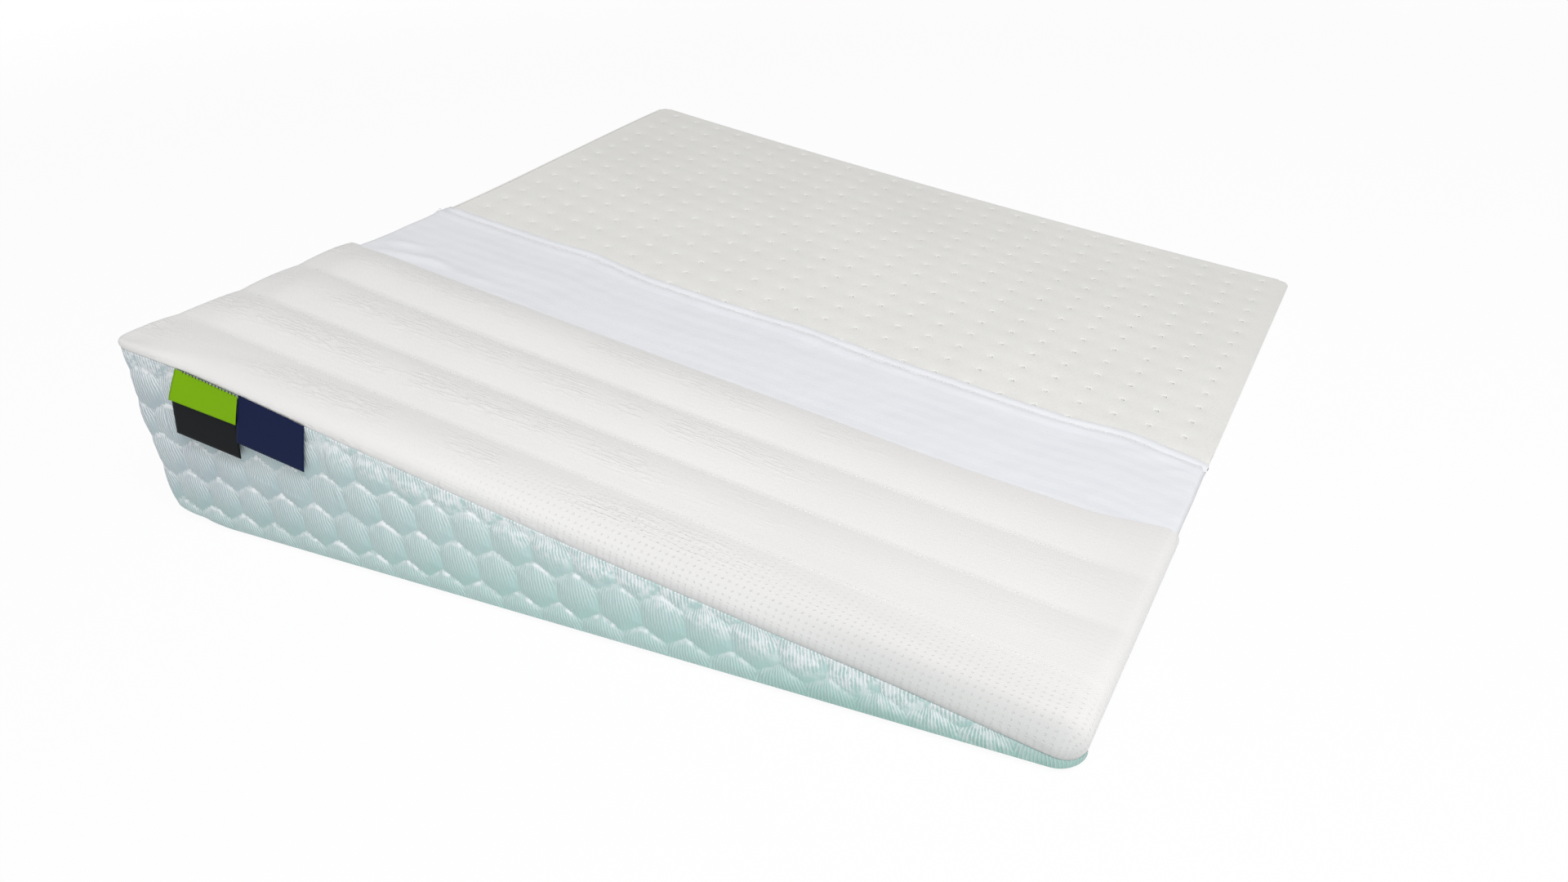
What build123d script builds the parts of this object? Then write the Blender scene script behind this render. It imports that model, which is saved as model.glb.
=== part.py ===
from build123d import *
import os
from math import atan2, cos, degrees, sin

# Wedge mattress shown as a cutaway, in millimetres.
# +X runs from the tall end to the thin end, the front faces -Y, +Z is up.
# The origin is the middle of the footprint, on the surface that the wedge lies on.

# The wedge as a whole
length = 720.0
width = 750.0
tall_height = 148.0
thin_height = 18.0
corner_radius = 18.0
heel_radius = 20.0

# Layers, from the outside in, and the slip that lets them be drawn off
mesh_thickness = 4.0
cover_slip = 0.3
liner_thickness = 0.8
core_slip = 0.5

# Foam core and its moulded pin holes
core_back_radius = 8.0
pinhole_radius = 2.5
pinhole_pitch = 27.5
pinhole_margin = 14.0

# Liner
liner_reach = 353.0
hem_width = 12.0
hem_stitch_inset = 10.0
hem_stitch_width = 1.0
hem_stitch_height = 0.3

# Quilted top panel
channel_pitch = 58.0
channel_count = 4
crown_height = 8.5
valley_height = 4.2
seam_drop_tall = 1.0
seam_drop_thin = 9.0
front_roll = 6.0
end_roll = 8.0
knit_thickness = 1.2
scrim_thickness = 0.6
thread_radius = 0.4

# Zip in the tall end
zip_height = 40.0
zip_slit = 1.6
zip_recess = 0.6
zip_clearance = 0.3
tape_width = 11.0
tape_thickness = 0.6
coil_width = 2.4
coil_spine = 1.0
coil_thickness = 1.4
coil_pitch = 2.5
stop_length = 2.0
stop_width = 6.4
stop_thickness = 0.5
slider_start = 12.0
slider_length = 14.0
slider_width = 9.0
slider_corner = 2.5
slider_plate = 1.0
slider_inner_plate = 0.9
web_width = 1.0
web_length = 5.0
bail_length = 9.2
bail_post = 1.2
bail_width = 1.6
bail_bar = 1.0
pull_thickness = 1.0
pull_clearance = 0.25
pull_width = 5.4
pull_arm = 1.0
pull_window = 7.0
pull_length = 27.0
pull_corner = 1.8

# Woven labels in the front seam, each set in from the tall end
label_thickness = 0.6
label_gap = 0.3
label_corner = 1.0
green_label_inset = 55.0
green_label_width = 60.0
green_label_height = 28.0
black_label_inset = 56.0
black_label_width = 58.0
black_label_height = 57.0
navy_label_inset = 116.0
navy_label_width = 60.0
navy_label_height = 39.0

# Places that follow from the sizes above
tall_x = -length / 2
thin_x = length / 2
front_y = -width / 2
back_y = width / 2
slope = atan2(tall_height - thin_height, length)
along_slope = (cos(slope), 0, -sin(slope))
mid_height = (tall_height + thin_height) / 2
heel_x = tall_x + heel_radius
corner_y = front_y + corner_radius
mouth_y = front_y + channel_count * channel_pitch
hem_y = front_y + liner_reach

liner_inset = mesh_thickness + cover_slip
liner_inside = liner_inset + liner_thickness
core_inset = liner_inside + core_slip
liner_rise = core_slip + liner_thickness
cover_rise = liner_rise + cover_slip

core_top = Plane(origin=(0, 0, mid_height), x_dir=(0, 1, 0), z_dir=(sin(slope), 0, cos(slope)))
across_slope = Plane(origin=(0, 0, mid_height), x_dir=(0, 1, 0), z_dir=along_slope)

# The seam between the top panel and the borders falls a little faster than the core's top.
seam_tall_z = tall_height - seam_drop_tall
seam_thin_z = thin_height - seam_drop_thin
seam_slope = atan2(seam_tall_z - seam_thin_z, length)
along_seam = (cos(seam_slope), 0, -sin(seam_slope))
seam_mid = (seam_tall_z + seam_thin_z) / 2
seam_plane = Plane(origin=(0, 0, seam_mid), x_dir=(0, 1, 0), z_dir=(sin(seam_slope), 0, cos(seam_slope)))
quilt_depth = seam_drop_thin + crown_height


def top_z(x, rise):
    """Height of the plane that lies `rise` above the core's sloping top."""
    return mid_height - x * (tall_height - thin_height) / length + rise / cos(slope)


def seam_z(x):
    """Height of the seam between the top panel and the borders."""
    return seam_mid - x * (seam_tall_z - seam_thin_z) / length


def wedge(inset, rise, far_y, floor, far_radius=0.0):
    """Wedge inset from the cover's outside, with its top `rise` above the core's and its back at far_y."""
    near_x = tall_x + inset
    end_x = thin_x - inset
    near_y = front_y + inset
    with BuildPart() as block:
        with BuildSketch(Plane.XZ.offset(-far_y)) as side:
            with BuildLine():
                Polyline(
                    (near_x, floor),
                    (end_x, floor),
                    (end_x, top_z(end_x, rise)),
                    (near_x, top_z(near_x, rise)),
                    close=True,
                )
            make_face()
            fillet(side.vertices().group_by(Axis.X)[0].sort_by(Axis.Y)[0], heel_radius - inset)
        extrude(amount=far_y - near_y)
        with BuildSketch(Plane.XY) as plan:
            with Locations((0, near_y)):
                Rectangle(end_x - near_x, far_y - near_y, align=(Align.CENTER, Align.MIN))
            fillet(plan.vertices().group_by(Axis.Y)[0], corner_radius - inset)
            if far_radius:
                fillet(plan.vertices().group_by(Axis.Y)[-1], far_radius)
        extrude(amount=tall_height + crown_height + heel_radius, mode=Mode.INTERSECT)
    return block.part


def shell(outer_inset, outer_rise, inner_inset, inner_rise, far_y):
    """Open-backed skin between two nested wedges."""
    with BuildPart() as skin:
        add(wedge(outer_inset, outer_rise, far_y, outer_inset))
        add(wedge(inner_inset, inner_rise, far_y, inner_inset), mode=Mode.SUBTRACT)
    return skin.part


def floor_slab(inset):
    """Block that holds everything below `inset` and past the rounded heel."""
    with BuildPart() as slab:
        with Locations((heel_x, 0, 0)):
            Box(length, 2 * width, inset, align=(Align.MIN, Align.CENTER, Align.MIN))
    return slab.part


def panel(skin, side, rise, floor):
    """One panel of a skin whose inside lies `rise` over the core's top and `floor` over the ground."""
    with BuildPart() as piece:
        add(skin)
        split(bisect_by=core_top.offset(rise), keep=Keep.TOP if side == "top" else Keep.BOTTOM)
        if side != "top":
            add(floor_slab(floor), mode=Mode.INTERSECT if side == "base" else Mode.SUBTRACT)
        if side == "front":
            split(bisect_by=Plane.XZ.offset(-corner_y), keep=Keep.TOP)
        if side in ("tall", "thin"):
            split(bisect_by=Plane.XZ.offset(-corner_y), keep=Keep.BOTTOM)
            split(bisect_by=Plane.YZ, keep=Keep.TOP if side == "thin" else Keep.BOTTOM)
    return piece.part


def quilt(inset):
    """Solid under the quilted surface: crowned channels that roll down at the front and both ends."""
    edges = [front_y + i * channel_pitch for i in range(channel_count + 1)]
    edges[0] += inset
    edges[-1] -= inset
    valley = valley_height - inset
    crown = crown_height - inset
    near_x = tall_x + inset
    end_x = thin_x - inset
    with BuildPart() as pad:
        with BuildSketch(across_slope) as channels:
            with BuildLine():
                Polyline(
                    (edges[-1], valley),
                    (edges[-1], -quilt_depth),
                    (edges[0], -quilt_depth),
                    (edges[0], valley),
                )
                for start, end in zip(edges, edges[1:]):
                    ThreePointArc((start, valley), ((start + end) / 2, crown), (end, valley))
            make_face()
            fillet(channels.vertices().group_by(Axis.X)[0].sort_by(Axis.Y)[-1], front_roll - inset)
        extrude(amount=length, both=True)
        with BuildSketch(Plane.XZ.offset(-mouth_y)) as side:
            with BuildLine():
                Polyline(
                    (near_x, top_z(near_x, -quilt_depth)),
                    (end_x, top_z(end_x, -quilt_depth)),
                    (end_x, top_z(end_x, crown)),
                    (near_x, top_z(near_x, crown)),
                    close=True,
                )
            make_face()
            for group in (0, -1):
                fillet(side.vertices().group_by(Axis.X)[group].sort_by(Axis.Y)[-1], end_roll - inset)
        extrude(amount=mouth_y - front_y, mode=Mode.INTERSECT)
        with BuildSketch(Plane.XY) as plan:
            with Locations((0, edges[0])):
                Rectangle(end_x - near_x, edges[-1] - edges[0], align=(Align.CENTER, Align.MIN))
            fillet(plan.vertices().group_by(Axis.Y)[0], corner_radius - inset)
        extrude(amount=tall_height + 2 * crown_height, mode=Mode.INTERSECT)
        split(bisect_by=seam_plane, keep=Keep.TOP)
    return pad.part


os.makedirs("parts", exist_ok=True)

# Foam core: a moulded wedge with pin holes right through it.
# Under the cover its foot is pressed up by the layers below, and past the hem it lies on the floor.
core_length = length - 2 * core_inset
core_front_y = front_y + core_inset
core_depth = back_y - core_front_y
pin_columns = int((core_length - 2 * pinhole_margin) / pinhole_pitch) + 1
pin_rows = int((core_depth - 2 * pinhole_margin) / pinhole_pitch) + 1

with BuildPart() as foam_core:
    add(wedge(core_inset, 0, back_y, 0, core_back_radius))
    with Locations((0, front_y, 0)):
        Box(2 * length, liner_reach + core_slip, heel_radius, align=(Align.CENTER, Align.MIN, Align.MIN),
            mode=Mode.SUBTRACT)
    add(split(wedge(core_inset, 0, back_y, core_inset, core_back_radius),
              bisect_by=Plane.XZ.offset(-hem_y - core_slip), keep=Keep.TOP, mode=Mode.PRIVATE))
    with BuildSketch(Plane.XY):
        with Locations((0, core_front_y + core_depth / 2)):
            with GridLocations(pinhole_pitch, pinhole_pitch, pin_columns, pin_rows):
                Circle(pinhole_radius)
    extrude(amount=tall_height, mode=Mode.SUBTRACT, clean=False)
foam_core.part.label = "foam_core"
export_step(foam_core.part, "parts/foam_core.step")

# Liner: a striped cotton slip round the core, cut as five panels.
liner_skin = shell(liner_inset, liner_rise, liner_inside, core_slip, hem_y)

with BuildPart() as liner_top:
    add(panel(liner_skin, "top", core_slip, liner_inside))
liner_top.part.label = "liner_top"
export_step(liner_top.part, "parts/liner_top.step")

with BuildPart() as liner_base:
    add(panel(liner_skin, "base", core_slip, liner_inside))
liner_base.part.label = "liner_base"
export_step(liner_base.part, "parts/liner_base.step")

with BuildPart() as liner_front_gusset:
    add(panel(liner_skin, "front", core_slip, liner_inside))
liner_front_gusset.part.label = "liner_front_gusset"
export_step(liner_front_gusset.part, "parts/liner_front_gusset.step")

with BuildPart() as liner_tall_gusset:
    add(panel(liner_skin, "tall", core_slip, liner_inside))
liner_tall_gusset.part.label = "liner_tall_gusset"
export_step(liner_tall_gusset.part, "parts/liner_tall_gusset.step")

with BuildPart() as liner_thin_gusset:
    add(panel(liner_skin, "thin", core_slip, liner_inside))
liner_thin_gusset.part.label = "liner_thin_gusset"
export_step(liner_thin_gusset.part, "parts/liner_thin_gusset.step")

# Hems: the turned edge of each open liner panel, with one row of stitching round them all.
hem_inset = liner_inset - liner_thickness
hem_rise = liner_rise + liner_thickness
stitch_inset = hem_inset - hem_stitch_height
stitch_rise = hem_rise + hem_stitch_height
stitch_y = hem_y - hem_stitch_inset

with BuildPart() as hem_band:
    add(shell(hem_inset, hem_rise, liner_inset, liner_rise, hem_y))
    split(bisect_by=Plane.XZ.offset(hem_width - hem_y), keep=Keep.BOTTOM)

with BuildPart() as liner_hem_top:
    add(panel(hem_band.part, "top", liner_rise, liner_inset))
liner_hem_top.part.label = "liner_hem_top"
export_step(liner_hem_top.part, "parts/liner_hem_top.step")

with BuildPart() as liner_hem_base:
    add(panel(hem_band.part, "base", liner_rise, liner_inset))
liner_hem_base.part.label = "liner_hem_base"
export_step(liner_hem_base.part, "parts/liner_hem_base.step")

with BuildPart() as liner_hem_tall:
    add(panel(hem_band.part, "tall", liner_rise, liner_inset))
liner_hem_tall.part.label = "liner_hem_tall"
export_step(liner_hem_tall.part, "parts/liner_hem_tall.step")

with BuildPart() as liner_hem_thin:
    add(panel(hem_band.part, "thin", liner_rise, liner_inset))
liner_hem_thin.part.label = "liner_hem_thin"
export_step(liner_hem_thin.part, "parts/liner_hem_thin.step")

with BuildPart() as hem_stitching:
    add(shell(stitch_inset, stitch_rise, hem_inset, hem_rise, stitch_y + hem_stitch_width))
    split(bisect_by=Plane.XZ.offset(-stitch_y), keep=Keep.BOTTOM)
hem_stitching.part.label = "hem_stitching"
export_step(hem_stitching.part, "parts/hem_stitching.step")

# Quilted top panel: knit, wadding and scrim, sewn through along the channel valleys.
with BuildPart() as top_panel_knit:
    add(quilt(0))
    add(quilt(knit_thickness), mode=Mode.SUBTRACT)
    add(wedge(mesh_thickness, cover_rise, mouth_y, mesh_thickness), mode=Mode.SUBTRACT)
top_panel_knit.part.label = "top_panel_knit"
export_step(top_panel_knit.part, "parts/top_panel_knit.step")

with BuildPart() as top_panel_wadding:
    add(quilt(knit_thickness))
    add(wedge(mesh_thickness, cover_rise + scrim_thickness, mouth_y, mesh_thickness), mode=Mode.SUBTRACT)
top_panel_wadding.part.label = "top_panel_wadding"
export_step(top_panel_wadding.part, "parts/top_panel_wadding.step")

with BuildPart() as top_panel_scrim:
    add(wedge(mesh_thickness, cover_rise + scrim_thickness, mouth_y - knit_thickness, mesh_thickness))
    split(bisect_by=core_top.offset(cover_rise), keep=Keep.TOP)
top_panel_scrim.part.label = "top_panel_scrim"
export_step(top_panel_scrim.part, "parts/top_panel_scrim.step")

# One thread lies in each valley, held between the two channels beside it.
channel_lean = 2 * atan2(2 * (crown_height - valley_height), channel_pitch)
thread_rise = valley_height + thread_radius / cos(channel_lean)
thread_reach = (length / 2 - 2 * end_roll) / cos(slope)

with BuildPart() as quilting_threads:
    with BuildSketch(across_slope):
        with Locations(*[(front_y + i * channel_pitch, thread_rise) for i in range(1, channel_count)]):
            Circle(thread_radius)
    extrude(amount=thread_reach, both=True)
quilting_threads.part.label = "quilting_threads"
export_step(quilting_threads.part, "parts/quilting_threads.step")

# Cover sides and underside: spacer mesh, sewn to the top panel along the seam.
with BuildPart() as cover_skin:
    add(shell(0, 0, mesh_thickness, cover_rise, mouth_y))
    split(bisect_by=seam_plane, keep=Keep.BOTTOM)

with BuildPart() as base_panel:
    add(panel(cover_skin.part, "base", cover_rise, mesh_thickness))
base_panel.part.label = "base_panel"
export_step(base_panel.part, "parts/base_panel.step")

with BuildPart() as border_front:
    add(panel(cover_skin.part, "front", cover_rise, mesh_thickness))
border_front.part.label = "border_front"
export_step(border_front.part, "parts/border_front.step")

with BuildPart() as border_thin:
    add(panel(cover_skin.part, "thin", cover_rise, mesh_thickness))
border_thin.part.label = "border_thin"
export_step(border_thin.part, "parts/border_thin.step")

# The tall end's border is two strips, with the zip sewn between them.
zip_half = zip_slit / 2 + tape_width

with BuildPart() as border_tall_upper:
    add(panel(cover_skin.part, "tall", cover_rise, mesh_thickness))
    split(bisect_by=Plane.XY.offset(zip_height + zip_half), keep=Keep.TOP)
border_tall_upper.part.label = "border_tall_upper"
export_step(border_tall_upper.part, "parts/border_tall_upper.step")

with BuildPart() as border_tall_lower:
    add(panel(cover_skin.part, "tall", cover_rise, mesh_thickness))
    split(bisect_by=Plane.XY.offset(zip_height - zip_half), keep=Keep.BOTTOM)
border_tall_lower.part.label = "border_tall_lower"
export_step(border_tall_lower.part, "parts/border_tall_lower.step")

# Zip: two tapes with a coil on the inside of each, and a slit between for the slider's web.
tape_x = tall_x + zip_recess
coil_x = tape_x + tape_thickness
zip_length = mouth_y - corner_y
coil_count = int((zip_length - coil_pitch) / coil_pitch)

# Planes across the zip at its closed end: local x runs along +Y and local y runs up.
tape_face = Plane(origin=(tape_x, corner_y, zip_height), x_dir=(0, 1, 0), z_dir=(1, 0, 0))
coil_face = Plane(origin=(coil_x, corner_y, zip_height), x_dir=(0, 1, 0), z_dir=(1, 0, 0))


def zip_tape(side):
    """One tape, above (side 1) or below (side -1) the slit."""
    with BuildPart() as tape:
        with BuildSketch(tape_face):
            with Locations((zip_length / 2, side * (zip_slit + tape_width) / 2)):
                Rectangle(zip_length, tape_width)
        extrude(amount=tape_thickness)
    return tape.part


def zip_coil(side):
    """One coil: a spine along the tape with a row of turns that reach to the slit."""
    turn = coil_width - coil_spine
    with BuildPart() as coil:
        with BuildSketch(coil_face):
            with Locations((zip_length / 2, side * (zip_slit / 2 + turn + coil_spine / 2))):
                Rectangle(zip_length, coil_spine)
            with Locations((zip_length / 2, side * (zip_slit + turn) / 2)):
                with GridLocations(coil_pitch, 0, coil_count, 1):
                    Rectangle(coil_pitch / 2, turn)
        extrude(amount=coil_thickness)
    return coil.part


with BuildPart() as zip_tape_upper:
    add(zip_tape(1))
zip_tape_upper.part.label = "zip_tape_upper"
export_step(zip_tape_upper.part, "parts/zip_tape_upper.step")

with BuildPart() as zip_tape_lower:
    add(zip_tape(-1))
zip_tape_lower.part.label = "zip_tape_lower"
export_step(zip_tape_lower.part, "parts/zip_tape_lower.step")

with BuildPart() as zip_coil_upper:
    add(zip_coil(1))
zip_coil_upper.part.label = "zip_coil_upper"
export_step(zip_coil_upper.part, "parts/zip_coil_upper.step")

with BuildPart() as zip_coil_lower:
    add(zip_coil(-1))
zip_coil_lower.part.label = "zip_coil_lower"
export_step(zip_coil_lower.part, "parts/zip_coil_lower.step")

with BuildPart() as zip_end_stop:
    with BuildSketch(tape_face):
        with Locations((stop_length, 0)):
            Rectangle(stop_length, stop_width)
    extrude(amount=-stop_thickness)
zip_end_stop.part.label = "zip_end_stop"
export_step(zip_end_stop.part, "parts/zip_end_stop.step")

# Slider: a plate outside the tapes and one inside the coils, joined by a web through the slit.
slider_y = corner_y + slider_start
plate_x = tape_x - zip_clearance
inner_plate_x = coil_x + coil_thickness + zip_clearance
bail_gap = pull_thickness + 2 * pull_clearance
bail_x = plate_x - slider_plate - bail_gap - bail_bar


def slider_face(x):
    """Plane across the slider at x, facing into the cover."""
    return Plane(origin=(x, slider_y, zip_height), x_dir=(0, 1, 0), z_dir=(1, 0, 0))


with BuildPart() as zip_slider:
    with BuildSketch(slider_face(plate_x)):
        RectangleRounded(slider_length, slider_width, slider_corner)
    extrude(amount=-slider_plate)
    with BuildSketch(slider_face(inner_plate_x)):
        RectangleRounded(slider_length, slider_width, slider_corner)
    extrude(amount=slider_inner_plate)
    with BuildSketch(slider_face(plate_x)):
        Rectangle(web_length, web_width)
    extrude(amount=inner_plate_x - plate_x)
    with BuildSketch(slider_face(bail_x)):
        Rectangle(bail_length, bail_width)
    extrude(amount=bail_bar + bail_gap)
    with BuildSketch(slider_face(bail_x + bail_bar)):
        Rectangle(bail_length - 2 * bail_post, bail_width)
    extrude(amount=bail_gap, mode=Mode.SUBTRACT)
    fillet(zip_slider.edges().filter_by(Axis.Z).group_by(Axis.X)[0], bail_bar / 2)
zip_slider.part.label = "zip_slider"
export_step(zip_slider.part, "parts/zip_slider.step")

# Pull tab: its crossbar turns under the slider's bail, and two arms carry the tab.
pull_x = plate_x - slider_plate - bail_gap / 2

with BuildPart() as zip_pull_tab:
    with BuildSketch(slider_face(pull_x - pull_thickness / 2)) as tab:
        with Locations((pull_length / 2, 0)):
            Rectangle(pull_length, pull_width)
        fillet(tab.vertices().group_by(Axis.X)[-1], pull_corner)
        with Locations((pull_window / 2, 0)):
            Rectangle(pull_window, pull_width - 2 * pull_arm, mode=Mode.SUBTRACT)
    extrude(amount=pull_thickness)
    with Locations((pull_x, slider_y, zip_height)):
        Cylinder(pull_thickness / 2, pull_width)
zip_pull_tab.part.label = "zip_pull_tab"
export_step(zip_pull_tab.part, "parts/zip_pull_tab.step")


def seam_label(inset, layer, label_width, label_height):
    """Woven label that hangs from the front seam, in the first or second layer off the border."""
    start_x = tall_x + inset
    gap_y = front_y - label_gap - layer * (label_thickness + label_gap)
    seam_point = (start_x, gap_y, seam_z(start_x))
    with BuildPart() as label:
        with BuildSketch(Plane(origin=seam_point, x_dir=along_seam, z_dir=(0, -1, 0))) as face:
            Rectangle(label_width, label_height, align=(Align.MIN, Align.MAX))
            fillet(face.vertices().group_by(Axis.Y)[0], label_corner)
        extrude(amount=label_thickness)
    return label.part


with BuildPart() as label_black:
    add(seam_label(black_label_inset, 0, black_label_width, black_label_height))
label_black.part.label = "label_black"
export_step(label_black.part, "parts/label_black.step")

with BuildPart() as label_green:
    add(seam_label(green_label_inset, 1, green_label_width, green_label_height))
label_green.part.label = "label_green"
export_step(label_green.part, "parts/label_green.step")

with BuildPart() as label_navy:
    add(seam_label(navy_label_inset, 0, navy_label_width, navy_label_height))
label_navy.part.label = "label_navy"
export_step(label_navy.part, "parts/label_navy.step")

print(f"slope {degrees(slope):.3f} degrees, {pin_columns} by {pin_rows} pin holes")
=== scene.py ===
import math

import bmesh
import bpy
from mathutils import Matrix, Vector, noise


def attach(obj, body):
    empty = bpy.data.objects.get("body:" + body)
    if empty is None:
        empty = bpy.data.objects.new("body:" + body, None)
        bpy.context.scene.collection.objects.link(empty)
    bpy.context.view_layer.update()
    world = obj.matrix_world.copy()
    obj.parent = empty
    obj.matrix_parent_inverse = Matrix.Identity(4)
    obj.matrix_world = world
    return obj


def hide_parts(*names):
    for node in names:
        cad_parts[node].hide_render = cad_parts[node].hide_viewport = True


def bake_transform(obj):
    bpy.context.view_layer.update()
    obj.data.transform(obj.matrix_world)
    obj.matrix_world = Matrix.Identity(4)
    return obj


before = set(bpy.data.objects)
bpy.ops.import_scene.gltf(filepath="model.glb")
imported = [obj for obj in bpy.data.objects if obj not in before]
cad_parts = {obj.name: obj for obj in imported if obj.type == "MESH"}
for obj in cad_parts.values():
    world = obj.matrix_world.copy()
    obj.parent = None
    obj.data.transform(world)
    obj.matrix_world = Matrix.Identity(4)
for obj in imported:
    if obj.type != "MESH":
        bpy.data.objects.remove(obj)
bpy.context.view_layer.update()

scene = bpy.context.scene

# Foam core: one moulded block of pale open-cell foam, tall at one end and thin at the other.
# Pins in the mould leave holes right through it, and its edges are only just softened.
# It lies loose in the liner, and past the liner's hem it spreads and sags a little.
length = 0.720
half_length = length / 2
tall_height = 0.148
thin_height = 0.018
fall = (tall_height - thin_height) / length
lean = math.atan(fall)
core_half = 0.3544
core_front = -0.3694
core_back = 0.3750
core_foot = 0.0056
foot_step_y = -0.019
core_corner = 0.008
core_heel = 0.0144
heel_x = -0.340
hem_y = -0.022
pin_pitch = 0.0275
pin_columns = 25
pin_rows = 27
pin_middle_y = 0.0028
pin_radius = 0.0020
pin_dish = 0.0042
pin_bound = 0.003
dish_bound = 0.008
foam_pale = (0.90, 0.893, 0.865, 1)
foam_grey = (0.835, 0.828, 0.80, 1)
foam_pore = (0.78, 0.774, 0.745, 1)
pin_wall_painted_light = (0.97, 0.965, 0.94, 1)


def top_z(x, rise=0.0):
    """Height of the plane that lies `rise` above the core's sloping top."""
    return (tall_height + thin_height) / 2 - x * fall + rise / math.cos(lean)


def ease(low, high, value):
    """0 below low, 1 above high, and a smooth rise between them."""
    share = min(1.0, max(0.0, (value - low) / (high - low)))
    return share * share * (3 - 2 * share)


def drawn_in(x, y):
    """How far the liner's hem draws the tall side of the block in."""
    return 0.0036 * ease(-0.17, -0.06, y) * (1 - ease(0.0, 0.16, y)) * ease(0.30, 0.354, -x)


def node(tree, kind, feeds=None, **settings):
    """Adds a shader node, sets it up, and feeds its inputs from plain values or from tones."""
    made = tree.nodes.new(kind)
    for name, value in settings.items():
        setattr(made, name, value)
    for socket, feed in (feeds or {}).items():
        if isinstance(feed, Tone):
            tree.links.new(feed.socket, made.inputs[socket])
        else:
            made.inputs[socket].default_value = feed
    return made


def tone(tree, kind, output, feeds=None, **settings):
    """What one output of a new shader node gives."""
    return Tone(tree, node(tree, kind, feeds, **settings).outputs[output])


class Tone:
    """A value or colour that changes over a finish. Sums on it add the shader nodes they need."""

    def __init__(self, tree, socket):
        self.tree = tree
        self.socket = socket

    def step(self, operation, second=0.0, third=0.0):
        """One step of shader arithmetic, with this as its first number."""
        return tone(self.tree, "ShaderNodeMath", 0, {0: self, 1: second, 2: third}, operation=operation)

    def __add__(self, other):
        return self.step("ADD", other)

    def __sub__(self, other):
        return self.step("SUBTRACT", other)

    def __mul__(self, other):
        return self.step("MULTIPLY", other)

    def __truediv__(self, other):
        return self.step("DIVIDE", other)

    def scaled(self, factor, plus):
        """This times the factor, with something added."""
        return self.step("MULTIPLY_ADD", factor, plus)

    def rise(self, low, high, least=0.0, most=1.0):
        """A smooth rise from least to most as this goes from low to high."""
        feeds = {"Value": self, "From Min": low, "From Max": high, "To Min": least, "To Max": most}
        return tone(self.tree, "ShaderNodeMapRange", 0, feeds, interpolation_type="SMOOTHSTEP")

    def tint(self, first, second):
        """Colour between first and second, with this as the second's share."""
        return tone(self.tree, "ShaderNodeMix", 2, {0: self, 6: first, 7: second}, data_type="RGBA")

    def axes(self):
        """The X, Y and Z of a place."""
        parted = node(self.tree, "ShaderNodeSeparateXYZ", {0: self})
        return [Tone(self.tree, axis) for axis in parted.outputs]


class Finish:
    """A material: plain values on the shader's own sockets, then its colour and its layers of relief."""

    def __init__(self, name, sockets, slot=None):
        self.slot = slot or name
        self.material = bpy.data.materials.new(name)
        self.material.use_nodes = True
        self.tree = self.material.node_tree
        self.shader = self.tree.nodes["Principled BSDF"]
        self.under = None
        for socket, value in sockets.items():
            self.shader.inputs[socket].default_value = value

    def here(self):
        """The place in the object's own frame."""
        return tone(self.tree, "ShaderNodeTexCoord", "Object")

    def flat(self, layer="weave"):
        """The place on the flat cloth."""
        return tone(self.tree, "ShaderNodeUVMap", "UV", uv_map=layer)

    def speckle(self, place, scale, detail):
        """Irregular patches, from 0 to 1."""
        feeds = {"Vector": place, "Scale": scale, "Detail": detail}
        return tone(self.tree, "ShaderNodeTexNoise", "Fac", feeds)

    def shared(self, group, **feeds):
        """What an effect that finishes share gives here, by the names of its outputs."""
        placed = node(self.tree, "ShaderNodeGroup", feeds, node_tree=group)
        return {socket.name: Tone(self.tree, socket) for socket in placed.outputs}

    def put(self, socket, source):
        """Feeds one of the shader's sockets."""
        self.tree.links.new(source.socket, self.shader.inputs[socket])

    def emboss(self, height, strength, depth):
        """One layer of relief, over the layers before it."""
        feeds = {"Strength": strength, "Distance": depth, "Height": height}
        if self.under:
            feeds["Normal"] = self.under
        self.under = tone(self.tree, "ShaderNodeBump", 0, feeds)
        self.put("Normal", self.under)


def new_group(name, inputs, outputs):
    """A shader node group with its named sockets, and the tones that come into it."""
    group = bpy.data.node_groups.new(name, "ShaderNodeTree")
    for socket, kind in inputs.items():
        group.interface.new_socket(socket, in_out="INPUT", socket_type=kind)
    for socket in outputs:
        group.interface.new_socket(socket, in_out="OUTPUT", socket_type="NodeSocketFloat")
    return group, {socket.name: Tone(group, socket) for socket in node(group, "NodeGroupInput").outputs}


def finished(bm, name, body, finish, nodes=(), sharp=180):
    """Turns a mesh into a piece with its finish, on a body if one is given, in place of the nodes."""
    mesh = bpy.data.meshes.new(name)
    bm.to_mesh(mesh)
    bm.free()
    mesh.shade_smooth()
    if sharp < 180:
        mesh.set_sharp_from_angle(angle=math.radians(sharp))
    mesh.materials.append(finish.material)
    piece = bpy.data.objects.new(name, mesh)
    scene.collection.objects.link(piece)
    if body:
        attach(piece, body)
    if nodes:
        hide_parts(*nodes)
    return piece


# Cloudy tone that every soft finish uses: slow patches with a little fine grain in them.
cloud, cloud_in = new_group(
    "cloud", {"Vector": "NodeSocketVector", "Scale": "NodeSocketFloat"}, ("Tone", "Grain"))
slow_patch = tone(cloud, "ShaderNodeTexNoise", "Fac", {"Vector": cloud_in["Vector"], "Detail": 4.0,
                                                       "Scale": cloud_in["Scale"], "Roughness": 0.55})
fine_grain = tone(cloud, "ShaderNodeTexNoise", "Fac",
                  {"Vector": cloud_in["Vector"], "Scale": cloud_in["Scale"] * 90.0, "Detail": 3.0})
node(cloud, "NodeGroupOutput", {"Tone": slow_patch.rise(0.3, 0.7), "Grain": fine_grain})

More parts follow.
